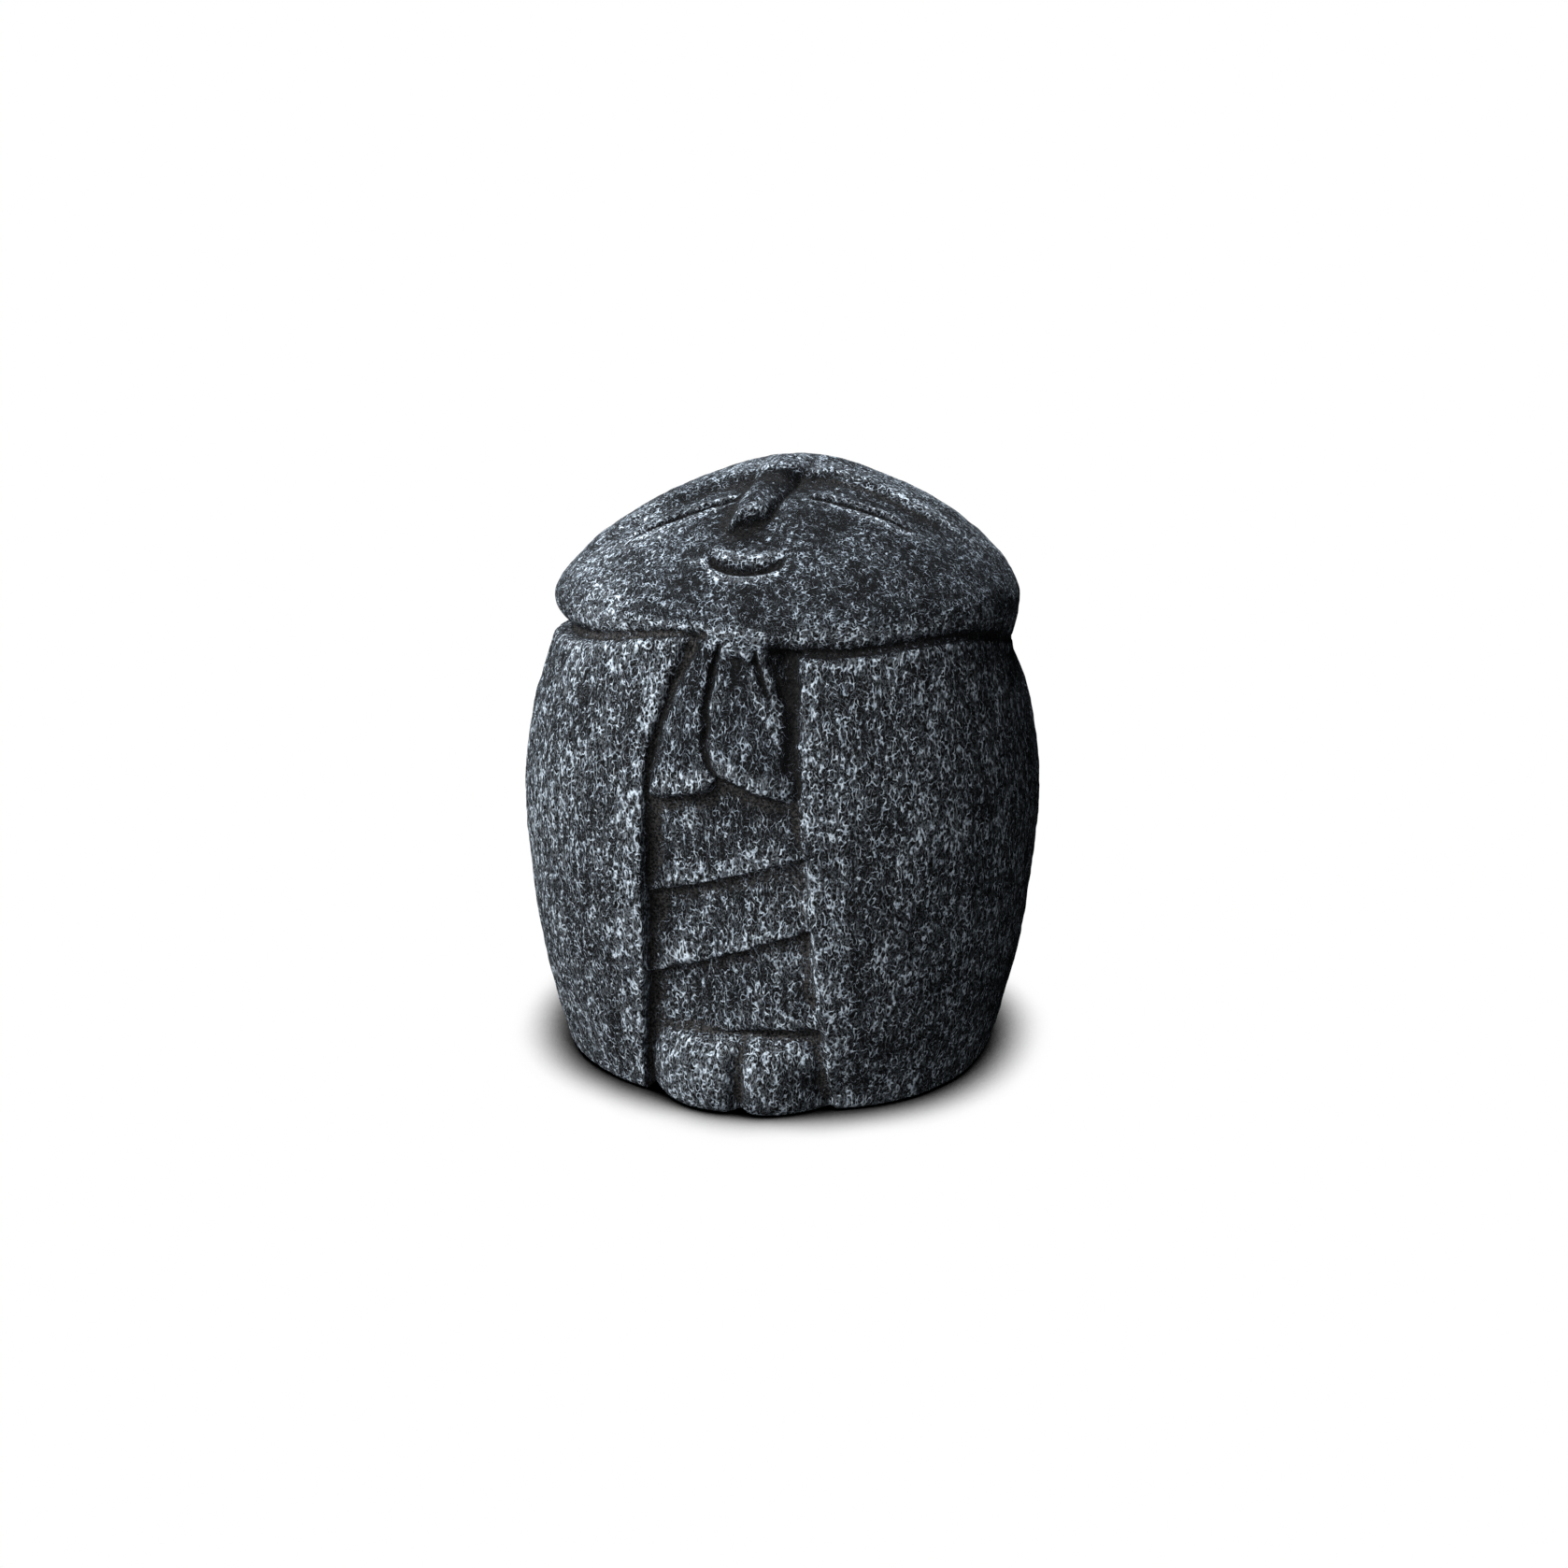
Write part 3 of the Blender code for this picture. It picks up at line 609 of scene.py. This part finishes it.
def eyes(x, y):
    """Two closed eyes, each a thin line that falls outwards, with the lid standing out behind it."""
    out = np.abs(x)
    line = EYE_LINE - EYE_FALL * (out - EYE_START) / (EYE_END - EYE_START)
    length = smooth(EYE_START, EYE_START + EYE_TAPER, out) * smooth(EYE_END, EYE_END - EYE_TAPER, out)
    lid = EYE_LID_SHARE * bell(y - line - 2.0 * EYE_LINE_WIDTH, EYE_LINE_WIDTH)
    return EYE_LINE_DEPTH * length * (bell(y - line, EYE_LINE_WIDTH) - lid)


def mouth(x, y):
    """Cut smile, less the lip that stands out above it."""
    off = (x - MOUTH_MIDDLE) / MOUTH_HALF_WIDTH
    line = MOUTH_LINE + MOUTH_CURVE * off**2
    length = np.clip(1.0 - off**MOUTH_SQUARENESS, 0.0, 1.0)
    cut = MOUTH_DEPTH * bell(y - line, MOUTH_WIDTH)
    lip = LIP_HEIGHT * bell(y - line - 2.0 * MOUTH_WIDTH, 2.0 * MOUTH_WIDTH)
    return length * (cut - lip)


def face_carving(x, y):
    """Height of the face over the plain dome of the head; brow and eyes lie a little askew."""
    turned = y - FACE_SKEW * x
    brow = BROW_HEIGHT * bell(turned - brow_line(x), BROW_WIDTH)
    brow = brow * (1.0 - smooth(BROW_HALF_SPAN, SOCKET_SIDE_END, np.abs(x)))
    return brow + nose(x, y) - sockets(x, turned) - eyes(x, turned) - mouth(x, y)


def flank_station(height):
    """Station of a height on the flank."""
    return FLANK + (height - BASE_ROUNDING) / (levels()[-1] - BASE_ROUNDING)


def row_plan():
    """Rows from the ground to the crown: how many rows lead up to each station of the profile."""
    hem, lower, upper, sleeve_foot, shoulder = levels()
    edges = [(level, LAP_EDGE) for level in (hem, lower, upper)] + [(sleeve_foot, 0.5 * SLEEVE_END)]
    flank = []
    height = BASE_ROUNDING
    for level, edge in edges:
        flank.append((round((level - edge - height) / ROW_SPACING), level - edge))
        flank.append((LAP_ROWS, level + edge))
        height = level + edge
    flank.append((round((shoulder - height) / ROW_SPACING), shoulder))
    plan = [(0, 0.0), (UNDERSIDE_ROWS, BASE_EDGE), (BASE_EDGE_ROWS, FLANK)]
    plan += [(rows, flank_station(height)) for rows, height in flank]
    plan += [(NECK_ROWS, NECK), (CHIN_ROWS, RIM), (DOME_ROWS, CROWN)]
    return np.cumsum([rows for rows, station in plan]), [station for rows, station in plan]


def column_plan():
    """Column counts from the back, round the left side and the front, to the back again."""
    counts = (0, BACK_COLUMNS, SIDE_COLUMNS, PANEL_COLUMNS, LEFT_WALL_COLUMNS, LEFT_OPENING_COLUMNS)
    counts += (RIGHT_OPENING_COLUMNS, RIGHT_WALL_COLUMNS, PANEL_COLUMNS, SIDE_COLUMNS, BACK_COLUMNS)
    return np.cumsum(counts)


def front_angle(x, half_width, half_depth):
    """Angle from the front at which the body's section lies at x."""
    share = np.clip(np.abs(x) / half_width, 0.0, FURTHEST_SHARE) ** BODY_SQUARENESS
    return np.arctan2(x, half_depth * (1.0 - share) ** (1.0 / BODY_SQUARENESS))


def column_angle(column, height):
    """Angle of a column, with columns kept along the opening's walls and its middle line."""
    half_width, half_depth = body_sizes(height)
    left, right = opening_edges(height)
    places = (-math.pi, -SIDE_ANGLE, -PANEL_ANGLE)
    for x in (left, left + left_wall(height), middle_line(height), right - RIGHT_WALL, right):
        places += (front_angle(x, half_width, half_depth),)
    return spread(column, column_plan(), places + (PANEL_ANGLE, SIDE_ANGLE, math.pi))


def plain_points(column, row_number):
    """The carved figure before its wear: points, angle from the front and share of the head."""
    row_counts, row_stations = row_plan()
    station = np.interp(row_number, row_counts, row_stations)
    shoulder = levels()[-1]
    on_head = station > NECK
    corner = 0.5 * math.pi * np.clip(station - BASE_EDGE, 0.0, 1.0)
    flank_rise = (shoulder - BASE_ROUNDING) * np.clip(station - FLANK, 0.0, 1.0)
    row = BASE_ROUNDING * (1.0 - np.cos(corner)) + flank_rise

    angle = column_angle(column, row)
    plain_width, plain_depth = body_sizes(row)
    x = ring(angle, plain_width, plain_depth, BODY_SQUARENESS)[0]
    left, right = opening_edges(row)
    towards_front = smooth(math.pi / 2.0, PANEL_ANGLE, np.abs(angle))
    slanted = line_heights(row, np.clip(x, left, right))
    height = np.where(station > FLANK, row + towards_front * (slanted - row), row)

    angle = column_angle(column, height)
    half_width, half_depth = body_sizes(height)
    turn = TURN_ANGLE * np.clip(station - SHOULDER, 0.0, 1.0)
    shoulder_turn = around(angle, LEFT_SHOULDER_TURN, FRONT_SHOULDER_TURN, RIGHT_SHOULDER_TURN)
    inset = BASE_ROUNDING * (1.0 - np.sin(corner)) + shoulder_turn * (1.0 - np.cos(turn))
    reach = np.clip(station, 0.0, 1.0)
    chin_turn = around(angle, LEFT_CHIN_TURN, FRONT_CHIN_TURN, RIGHT_CHIN_TURN)
    head_width, head_depth, head_height = head_sizes(station, chin_turn)
    half_width = np.where(on_head, head_width, reach * (half_width - inset))
    half_depth = np.where(on_head, head_depth, reach * (half_depth - inset))
    height = np.where(on_head, head_height, height + NECK_RISE * np.sin(turn) / math.sin(TURN_ANGLE))
    squareness = np.where(on_head, HEAD_SQUARENESS, BODY_SQUARENESS)
    x, y = ring(angle, np.maximum(half_width, POLE_SIZE), np.maximum(half_depth, POLE_SIZE), squareness)

    tilt = np.clip(height / shoulder, 0.0, 1.0) ** 2
    above_neck = np.where(on_head, height - shoulder - NECK_RISE, 0.0)
    below_neck = bell(height - shoulder - NECK_RISE, NECK_BEND_REACH)
    bent = np.where(on_head, smooth(NECK_BEND_END, NECK, station), below_neck) * neck_bend(angle)
    z = height + tilt * (NECK_SIDE_TILT * x - NECK_TILT * y) + bent
    on_front = ~on_head & (np.abs(angle) < math.pi / 2.0)
    surface = np.stack((x, y, z), axis=1)
    wander_x = EDGE_WANDER * stone_noise(surface, EDGE_WANDER_SIZE, WANDER_SEEDS[0])
    wander_z = EDGE_WANDER * stone_noise(surface, EDGE_WANDER_SIZE, WANDER_SEEDS[1])
    carved = body_carving(x + wander_x, row + wander_z, height + wander_z)
    y = y + reach * np.where(on_front, carved, 0.0)
    beside_groove = np.clip(1.0 - np.abs(station - NECK), 0.0, 1.0) * (np.abs(angle) < math.pi / 2.0)
    y = y - GROOVE_FILL * beside_groove * lobe(x, *sleeve_edges(1.0), SLEEVE_SQUARENESS)
    y = y + HEAD_LEAN * above_neck
    relief = np.where(on_head, smooth(*FACE_STARTS, station) * face_carving(x, y), 0.0)
    x = x + SIDE_LEAN * tilt + HEAD_SIDE_LEAN * above_neck
    points = np.stack((x, y, z), axis=1) + relief[:, None] * np.array(FACE_LOOK)
    return points, angle, station


def grid_normals(grid):
    """Outward unit normals of a closed grid: the cross product of its two directions."""
    along = np.roll(grid, -1, axis=1) - np.roll(grid, 1, axis=1)
    up = np.empty_like(grid)
    up[1:-1] = grid[2:] - grid[:-2]
    up[0] = grid[1] - grid[0]
    up[-1] = grid[-1] - grid[-2]
    normals = np.cross(along, up)
    return normals / np.maximum(np.linalg.norm(normals, axis=2, keepdims=True), SHORTEST_NORMAL)


def hollowness(grid, normals):
    """How far the surface lies below the mean of its neighbours, in millimetres, over three reaches."""
    total = np.zeros(grid.shape[:2])
    for reach in HOLLOW_REACHES:
        padded = np.pad(grid, ((reach, reach), (0, 0), (0, 0)), mode="edge")
        nearby = padded[: -2 * reach] + padded[2 * reach :]
        nearby = nearby + np.roll(grid, reach, axis=1) + np.roll(grid, -reach, axis=1)
        total = total + np.sum((0.25 * nearby - grid) * normals, axis=2)
    return MILLIMETRES * total / len(HOLLOW_REACHES)


def brushed_places(hollow, column, height, angle, flank):
    """Hollowness as the brush meets it: the panels' low edges raised, partly as a painted highlight, the
    valley by the left sleeve sunk.

    The groove under the head counts as less hollow at the left, where it is wide and soft, so it is
    painted lighter against its shade.
    """
    plan = column_plan()
    left_edge, left_floor, right_edge = plan[3], plan[4], plan[7]
    sleeve_foot, shoulder = levels()[-2:]
    at_left_edge = bell(column - left_edge + EDGE_COLUMNS, EDGE_COLUMNS)
    at_right_edge = bell(column - right_edge - EDGE_COLUMNS, EDGE_COLUMNS)
    low = 1.0 - smooth(EDGE_BRUSH_AND_HIGHLIGHT_FROM, EDGE_BRUSH_AND_HIGHLIGHT_TO, height)
    beside = smooth(left_edge, left_floor, column) * (column < left_floor + EDGE_COLUMNS)
    valley = VALLEY_HOLLOW * beside * flank * smooth(sleeve_foot, shoulder, height)
    # Painted light: the left groove counts as less hollow, so it takes more brush and less painted shade.
    at_left = smooth(LEFT_GROOVE_TO, LEFT_GROOVE_FROM, angle) * (height > sleeve_foot)
    over = 1.0 - LEFT_GROOVE_PAINTED_LIGHT * at_left
    # Partly a painted highlight: the low inner edges of the panels count as raised and take more brush.
    return over * hollow + valley - EDGE_BRUSH_AND_HIGHLIGHT * flank * low * np.maximum(at_left_edge, at_right_edge)


def chips(angle, height):
    """Depth of the chips and dents, each a soft oval on the flank."""
    cut = np.zeros_like(angle)
    for degrees, level, half_width, half_height, depth in CHIPS:
        aside = (angle - math.radians(degrees)) * BELLY_HALF_WIDTH
        cut = cut + depth * bell(aside, half_width) * bell(height - level, half_height)
    return cut


def ledge(angle, height):
    """Inset of the flank above a faint ledge round the right of the base."""
    along = smooth(LEDGE_FROM, LEDGE_TO, angle) * (1.0 - smooth(LEDGE_TO, LEDGE_END, angle))
    above = smooth(-LEDGE_EDGE, LEDGE_EDGE, height - LEDGE_HEIGHT)
    return LEDGE_DEPTH * along * above * (1.0 - smooth(LEDGE_HEIGHT, LEDGE_FADE * LEDGE_HEIGHT, height))


def wear(points, angle, station):
    """Height of the rough stone over its plain surface: lumps, chisel marks, ledge and chips."""
    rough = np.zeros(len(points))
    for number, (size, height) in enumerate(LUMPS):
        rough = rough + height * stone_noise(points, size, LUMP_SEED + number)
    on_robe = (station > FLANK) & (station < NECK)
    drawn = points * np.array((1.0, 1.0, MARK_STRETCH))
    marks = MARK_DEPTH * stone_noise(drawn, MARK_WIDTH, MARK_SEED)
    level = points[:, 2]
    rough = rough + np.where(on_robe, marks - chips(angle, level) - ledge(angle, level), 0.0)
    return rough * smooth(*ROUGH_STATIONS, station)


def dull_and_painted_shade_places(grid, hollow, column, station, flank):
    """Where the stone is dulled or shade is painted on it: the middle of the face with its eye sockets,
    the sleeves, the right groove.

    It is below 0 on the wrapped layers, where light is painted on them.
    """
    left_floor, right_edge = column_plan()[4], column_plan()[7]
    inside = flank & (column > left_floor) & (column < right_edge)
    sleeve_foot = flank_station(levels()[-2])
    # The sleeves: dulled stone and the painted shade of the chin.
    hands = HANDS_DULL_AND_SHADE * (inside & (station > sleeve_foot))
    layers = LAYERS_PAINTED_LIGHT * (inside & (station < sleeve_foot))
    middle = smooth(*FACE_DULL_AND_SHADE_SIDE, grid[:, :, 0]) * (1.0 - smooth(*FACE_DULL_AND_SHADE_BACK, grid[:, :, 1]))
    dull_and_painted_shade = np.maximum(smooth(*FACE_DULL_AND_SHADE, station) * middle, hands) * smooth(*RIDGE_SHINES, hollow)
    # Painted shade in the groove under the head, darker towards the right.
    groove = bell(station - NECK, GROOVE_STATIONS) * smooth(*GROOVE_PAINTED_SHADE, grid[:, :, 0])
    return np.maximum(dull_and_painted_shade, groove) + layers


def figure_grid():
    """The worn figure as a closed grid of points, with its hollowness, where it is robe, and where it is
    dulled or has painted shade.
    """
    rows = int(row_plan()[0][-1])
    columns = int(column_plan()[-1])
    row_number, column = np.meshgrid(np.arange(rows + 1.0), np.arange(columns + 0.0), indexing="ij")
    points, angle, station = plain_points(column.ravel(), row_number.ravel())
    grid = points.reshape(rows + 1, columns, 3)
    normals = grid_normals(grid)
    rough = wear(points, angle, station).reshape(rows + 1, columns, 1)
    rough[-PLAIN_CROWN_ROWS:] = rough[-PLAIN_CROWN_ROWS:].mean()
    normals[-PLAIN_CROWN_ROWS:] = (0.0, 0.0, 1.0)
    angle, station = angle.reshape(column.shape), station.reshape(column.shape)
    flank = (station > FLANK) & (station < NECK)
    hollow = brushed_places(hollowness(grid, normals), column, grid[:, :, 2], angle, flank)
    worn = grid + rough * normals
    worn[0] = worn[0].mean(axis=0)
    worn[-1] = worn[-1].mean(axis=0)
    dull_and_painted_shade = dull_and_painted_shade_places(grid, hollow, column, station, flank)
    return worn, hollow, flank.astype(float), dull_and_painted_shade


def closed_mesh(name, grid):
    """Mesh of a grid whose columns close on themselves and whose first and last row are one point each."""
    rows, columns = grid.shape[0] - 1, grid.shape[1]
    ring_of = np.arange(columns)
    following = (ring_of + 1) % columns
    lower = 1 + columns * np.arange(rows - 2)[:, None]
    upper = lower + columns
    sides = np.stack((lower + ring_of, lower + following, upper + following, upper + ring_of), axis=2)
    last = 1 + columns * (rows - 1)
    ground = np.stack((np.zeros_like(ring_of), 1 + following, 1 + ring_of), axis=1)
    top = last - columns
    crown = np.stack((np.full_like(ring_of, last), top + ring_of, top + following), axis=1)
    points = np.concatenate((grid[:1, 0], grid[1:-1].reshape(-1, 3), grid[-1:, 0]))
    mesh = bpy.data.meshes.new(name)
    mesh.from_pydata(points, [], ground.tolist() + sides.reshape(-1, 4).tolist() + crown.tolist())
    mesh.update()
    mesh.shade_smooth()
    return mesh


def make_statue():
    """The one block of stone, in the place of its solid, with what the finish needs kept on it."""
    grid, hollow, robe, dull_and_painted_shade = figure_grid()
    mesh = closed_mesh("stone_figure", grid)
    for name, values in (("hollow", hollow), ("robe", robe), ("dull_and_painted_shade", dull_and_painted_shade)):
        kept = np.concatenate((values[:1, 0], values[1:-1].ravel(), values[-1:, 0]))
        mesh.attributes.new(name, "FLOAT", "POINT").data.foreach_set("value", kept.astype(np.float32))
    statue = bpy.data.objects.new("stone_figure", mesh)
    bpy.context.scene.collection.objects.link(statue)
    mesh.materials.append(stone_finish())
    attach(statue, "root")
    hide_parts("jizo_statue")


def feed(tree, socket, value):
    """Give a socket its value, or link it to the socket that the value comes from."""
    if isinstance(value, bpy.types.NodeSocket):
        tree.links.new(value, socket)
    else:
        socket.default_value = value


def add_node(tree, kind, settings=(), **inputs):
    """A node with its settings and inputs; an input is a value or the socket that feeds it."""
    node = tree.nodes.new(kind)
    for name, value in dict(settings).items():
        setattr(node, name, value)
    for name, value in inputs.items():
        feed(tree, node.inputs[name.replace("_", " ")], value)
    return node


def calc(tree, operation, first, second=0.0):
    """One sum on one or two values or sockets."""
    node = tree.nodes.new("ShaderNodeMath")
    node.operation = operation
    feed(tree, node.inputs[0], first)
    feed(tree, node.inputs[1], second)
    return node.outputs[0]


def ramp(tree, value, low, high, start=0.0, end=1.0):
    """Smooth step of a value: start at low, end at high."""
    limits = {"From_Min": low, "From_Max": high, "To_Min": start, "To_Max": end}
    settings = {"interpolation_type": "SMOOTHSTEP"}
    return add_node(tree, "ShaderNodeMapRange", settings, Value=value, **limits).outputs["Result"]


def blend(tree, share, first, second):
    """Colour between the first and the second by a share: sockets 6 and 7 of the node are its colours."""
    node = add_node(tree, "ShaderNodeMix", {"data_type": "RGBA"})
    feed(tree, node.inputs[0], share)
    feed(tree, node.inputs[6], first)
    feed(tree, node.inputs[7], second)
    return node.outputs[2]


def noise(tree, place, size, detail=1.0, output="Fac"):
    """Noise whose features are about one size across."""
    node = add_node(tree, "ShaderNodeTexNoise", Vector=place, Scale=1.0 / size, Detail=detail)
    return node.outputs[output]


def stretched(tree, place, stretch):
    """Place with its height squeezed, so that a pattern on it runs upright."""
    node = add_node(tree, "ShaderNodeMapping", Vector=place)
    node.inputs["Scale"].default_value = (1.0, 1.0, stretch)
    return node.outputs[0]


def warped(tree, place, size, amount):
    """Place shifted by noise, so that a pattern on it wanders."""
    shift = noise(tree, place, size, output="Color")
    centred = add_node(tree, "ShaderNodeVectorMath", {"operation": "SUBTRACT"})
    tree.links.new(shift, centred.inputs[0])
    centred.inputs[1].default_value = (NOISE_MIDDLE,) * 3
    scaled = add_node(tree, "ShaderNodeVectorMath", {"operation": "SCALE"}, Scale=2.0 * amount)
    tree.links.new(centred.outputs[0], scaled.inputs[0])
    moved = add_node(tree, "ShaderNodeVectorMath", {"operation": "ADD"})
    tree.links.new(place, moved.inputs[0])
    tree.links.new(scaled.outputs[0], moved.inputs[1])
    return moved.outputs[0]


def worms(tree, place, size, width):
    """Thin winding ridges: where a noise passes its middle value, within a width that may vary."""
    level = noise(tree, place, size, detail=WORM_DETAIL)
    off = calc(tree, "ABSOLUTE", calc(tree, "SUBTRACT", level, NOISE_MIDDLE))
    return ramp(tree, calc(tree, "DIVIDE", off, width), *WORM_SIDE)


def grain_height(tree, place, cover_and_painted_light):
    """Coarse and fine winding grain, wider where the brush covers more, with its painted light and shade,
    and broken into short strokes.
    """
    wandering = warped(tree, place, GRAIN_WARP_SIZE, GRAIN_WARP)
    width = calc(tree, "MULTIPLY", cover_and_painted_light, GRAIN_HALF_WIDTH)
    coarse = worms(tree, wandering, GRAIN_SIZE, width)
    fine = worms(tree, wandering, FINE_GRAIN_SIZE, width)
    broken = ramp(tree, noise(tree, place, BREAK_SIZE, detail=0.0), *BREAKS)
    strokes = calc(tree, "MULTIPLY", coarse, broken)
    return calc(tree, "MAXIMUM", strokes, calc(tree, "MULTIPLY", fine, FINE_GRAIN_SHARE))


def kept_value(tree, name):
    """Value that the mesh keeps at its points under a name."""
    return add_node(tree, "ShaderNodeAttribute", {"attribute_name": name}).outputs["Fac"]


def brush_cover(tree, place, hollow, sunk, dull_and_painted_shade):
    """How much of the stone the brush covered, with painted light: more on what stands up, less in
    hollows, dulled places and painted shade.
    """
    patches = ramp(tree, noise(tree, place, PATCH_SIZE, detail=PATCH_DETAIL), *PATCHES)
    streaks = noise(tree, stretched(tree, place, STREAK_STRETCH), STREAK_SIZE)
    raised = ramp(tree, hollow, *RAISED)
    cover_and_painted_light = calc(tree, "ADD", calc(tree, "ADD", patches, ramp(tree, streaks, *STREAKS)), COVER)
    cover_and_painted_light = calc(tree, "ADD", cover_and_painted_light, calc(tree, "MULTIPLY", raised, RAISED_COVER))
    # Painted shade: the brush takes less in dulled places and where shade is painted.
    for less, strength in ((sunk, SUNK_COVER), (dull_and_painted_shade, DULL_AND_SHADE_COVER)):
        cover_and_painted_light = calc(tree, "SUBTRACT", cover_and_painted_light, calc(tree, "MULTIPLY", less, strength))
    return calc(tree, "MAXIMUM", cover_and_painted_light, LEAST_COVER)


def stone_finish():
    """Dark granular stone, pale with dry brush on whatever stands up and left brown in the hollows, with
    shade painted into deep cuts and dulled places and light painted onto edges and layers.
    """
    material = bpy.data.materials.new("brushed_stone")
    material.use_nodes = True
    tree = material.node_tree
    shader = tree.nodes["Principled BSDF"]
    place = tree.nodes.new("ShaderNodeTexCoord").outputs["Object"]
    hollow = kept_value(tree, "hollow")
    dull_and_painted_shade = kept_value(tree, "dull_and_painted_shade")
    sunk = ramp(tree, hollow, *SUNK)
    cover_and_painted_light = brush_cover(tree, place, hollow, sunk, dull_and_painted_shade)

    grain_place = blend(tree, kept_value(tree, "robe"), place, stretched(tree, place, ROBE_STRETCH))
    grain = grain_height(tree, grain_place, cover_and_painted_light)
    specks = noise(tree, place, SPECK_SIZE)
    glint = calc(tree, "ADD", specks, calc(tree, "MULTIPLY", cover_and_painted_light, GLINT_COVER))
    bright = calc(tree, "MULTIPLY", ramp(tree, glint, *GLINTS), ramp(tree, dull_and_painted_shade, *DULL_AND_SHADE_GLINTS))

    dust = calc(tree, "MULTIPLY", ramp(tree, sunk, *DUSTY_HOLLOWS), ramp(tree, dull_and_painted_shade, *DUSTY_DULL_AND_SHADE))
    dusty = calc(tree, "MULTIPLY", ramp(tree, specks, *DUSTY_SPECKS), dust)
    ground = blend(tree, dusty, DARK_STONE, BROWN_DUST)
    brush_colour = blend(tree, bright, BRUSHED_GREY, BRUSHED_WHITE)
    # Painted shade: deep cuts keep little of the brush and stay dark.
    brushed_and_shaded = calc(tree, "MULTIPLY", grain, ramp(tree, hollow, *DEEP_PAINTED_SHADE))
    tree.links.new(blend(tree, brushed_and_shaded, ground, brush_colour), shader.inputs["Base Color"])
    tree.links.new(ramp(tree, grain, *ROUGHNESS), shader.inputs["Roughness"])
    shader.inputs["Specular IOR Level"].default_value = SPECULAR

    pores = add_node(tree, "ShaderNodeBump", Distance=PORE_BUMP, Strength=1.0, Height=specks)
    ridges = add_node(tree, "ShaderNodeBump", Distance=GRAIN_BUMP, Strength=1.0, Height=grain)
    tree.links.new(pores.outputs[0], ridges.inputs["Normal"])
    tree.links.new(ridges.outputs[0], shader.inputs["Normal"])
    return material


def direction(round_angle, up_angle):
    """Direction out from the statue: an angle from its front towards +X and an angle up, as a unit."""
    level = math.cos(up_angle)
    return Vector((math.sin(round_angle) * level, -math.cos(round_angle) * level, math.sin(up_angle)))


def make_camera():
    """Camera at the height and side that the statue is seen from, aimed a hair to its right."""
    camera = bpy.data.objects.new("camera", bpy.data.cameras.new("camera"))
    bpy.context.scene.collection.objects.link(camera)
    side = Vector((math.cos(CAMERA_AZIMUTH), math.sin(CAMERA_AZIMUTH), 0.0))
    back = direction(CAMERA_AZIMUTH, CAMERA_ELEVATION)
    camera.location = Vector((0.0, 0.0, AIM_HEIGHT)) + AIM_ASIDE * side + CAMERA_DISTANCE * back
    camera.rotation_euler = (-back).to_track_quat("-Z", "Y").to_euler()
    camera.data.sensor_width = SENSOR_WIDTH
    camera.data.lens = LENS
    camera.data.clip_start = NEAREST_SEEN
    bpy.context.scene.camera = camera


def make_light(name, degrees_round, degrees_up, distance, size, power, colour):
    """Soft square light on a sphere round the statue, turned to its middle."""
    light = bpy.data.lights.new(name, "AREA")
    light.shape = "SQUARE"
    light.size = size
    light.energy = power
    light.color = colour
    lamp = bpy.data.objects.new(name, light)
    back = direction(math.radians(degrees_round), math.radians(degrees_up))
    lamp.location = Vector((0.0, 0.0, AIM_HEIGHT)) + distance * back
    lamp.rotation_euler = (-back).to_track_quat("-Z", "Y").to_euler()
    bpy.context.scene.collection.objects.link(lamp)


def make_sky():
    """Dim cool light from all round, behind a plain white backdrop."""
    world = bpy.data.worlds.new("studio")
    world.use_nodes = True
    tree = world.node_tree
    tree.nodes.clear()
    seen = tree.nodes.new("ShaderNodeLightPath").outputs["Is Camera Ray"]
    dim = add_node(tree, "ShaderNodeBackground", Color=SKY_COLOUR, Strength=SKY_STRENGTH)
    white = add_node(tree, "ShaderNodeBackground", Color=BACKDROP, Strength=1.0)
    mixed = tree.nodes.new("ShaderNodeMixShader")
    tree.links.new(seen, mixed.inputs[0])
    tree.links.new(dim.outputs[0], mixed.inputs[1])
    tree.links.new(white.outputs[0], mixed.inputs[2])
    tree.links.new(mixed.outputs[0], tree.nodes.new("ShaderNodeOutputWorld").inputs[0])
    bpy.context.scene.world = world


def make_floor():
    """Plain white floor at the frame's foot, darkened only where the statue shuts the light out."""
    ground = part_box("jizo_statue")[0].z
    half = 0.5 * FLOOR_SIZE
    corners = [(-half, -half, ground), (half, -half, ground), (half, half, ground), (-half, half, ground)]
    mesh = bpy.data.meshes.new("floor")
    mesh.from_pydata(corners, [], [(0, 1, 2, 3)])
    floor = bpy.data.objects.new("floor", mesh)
    bpy.context.scene.collection.objects.link(floor)
    material = bpy.data.materials.new("pale_floor")
    material.use_nodes = True
    tree = material.node_tree
    tree.nodes.clear()
    shut = add_node(tree, "ShaderNodeAmbientOcclusion", {"samples": SHADOW_SAMPLES}, Distance=SHADOW_REACH)
    light = ramp(tree, shut.outputs["AO"], SHADOW_DARK, SHADOW_CLEAR)
    glow = add_node(tree, "ShaderNodeEmission", Strength=light)
    tree.links.new(glow.outputs[0], tree.nodes.new("ShaderNodeOutputMaterial").inputs[0])
    mesh.materials.append(material)
    floor.visible_diffuse = False
    floor.visible_glossy = False


make_statue()
make_camera()
make_light("key_light", *KEY_LIGHT)
make_light("front_light", *FRONT_LIGHT)
make_light("top_light", *TOP_LIGHT)
make_sky()
make_floor()
bpy.context.scene.view_settings.view_transform = "Standard"
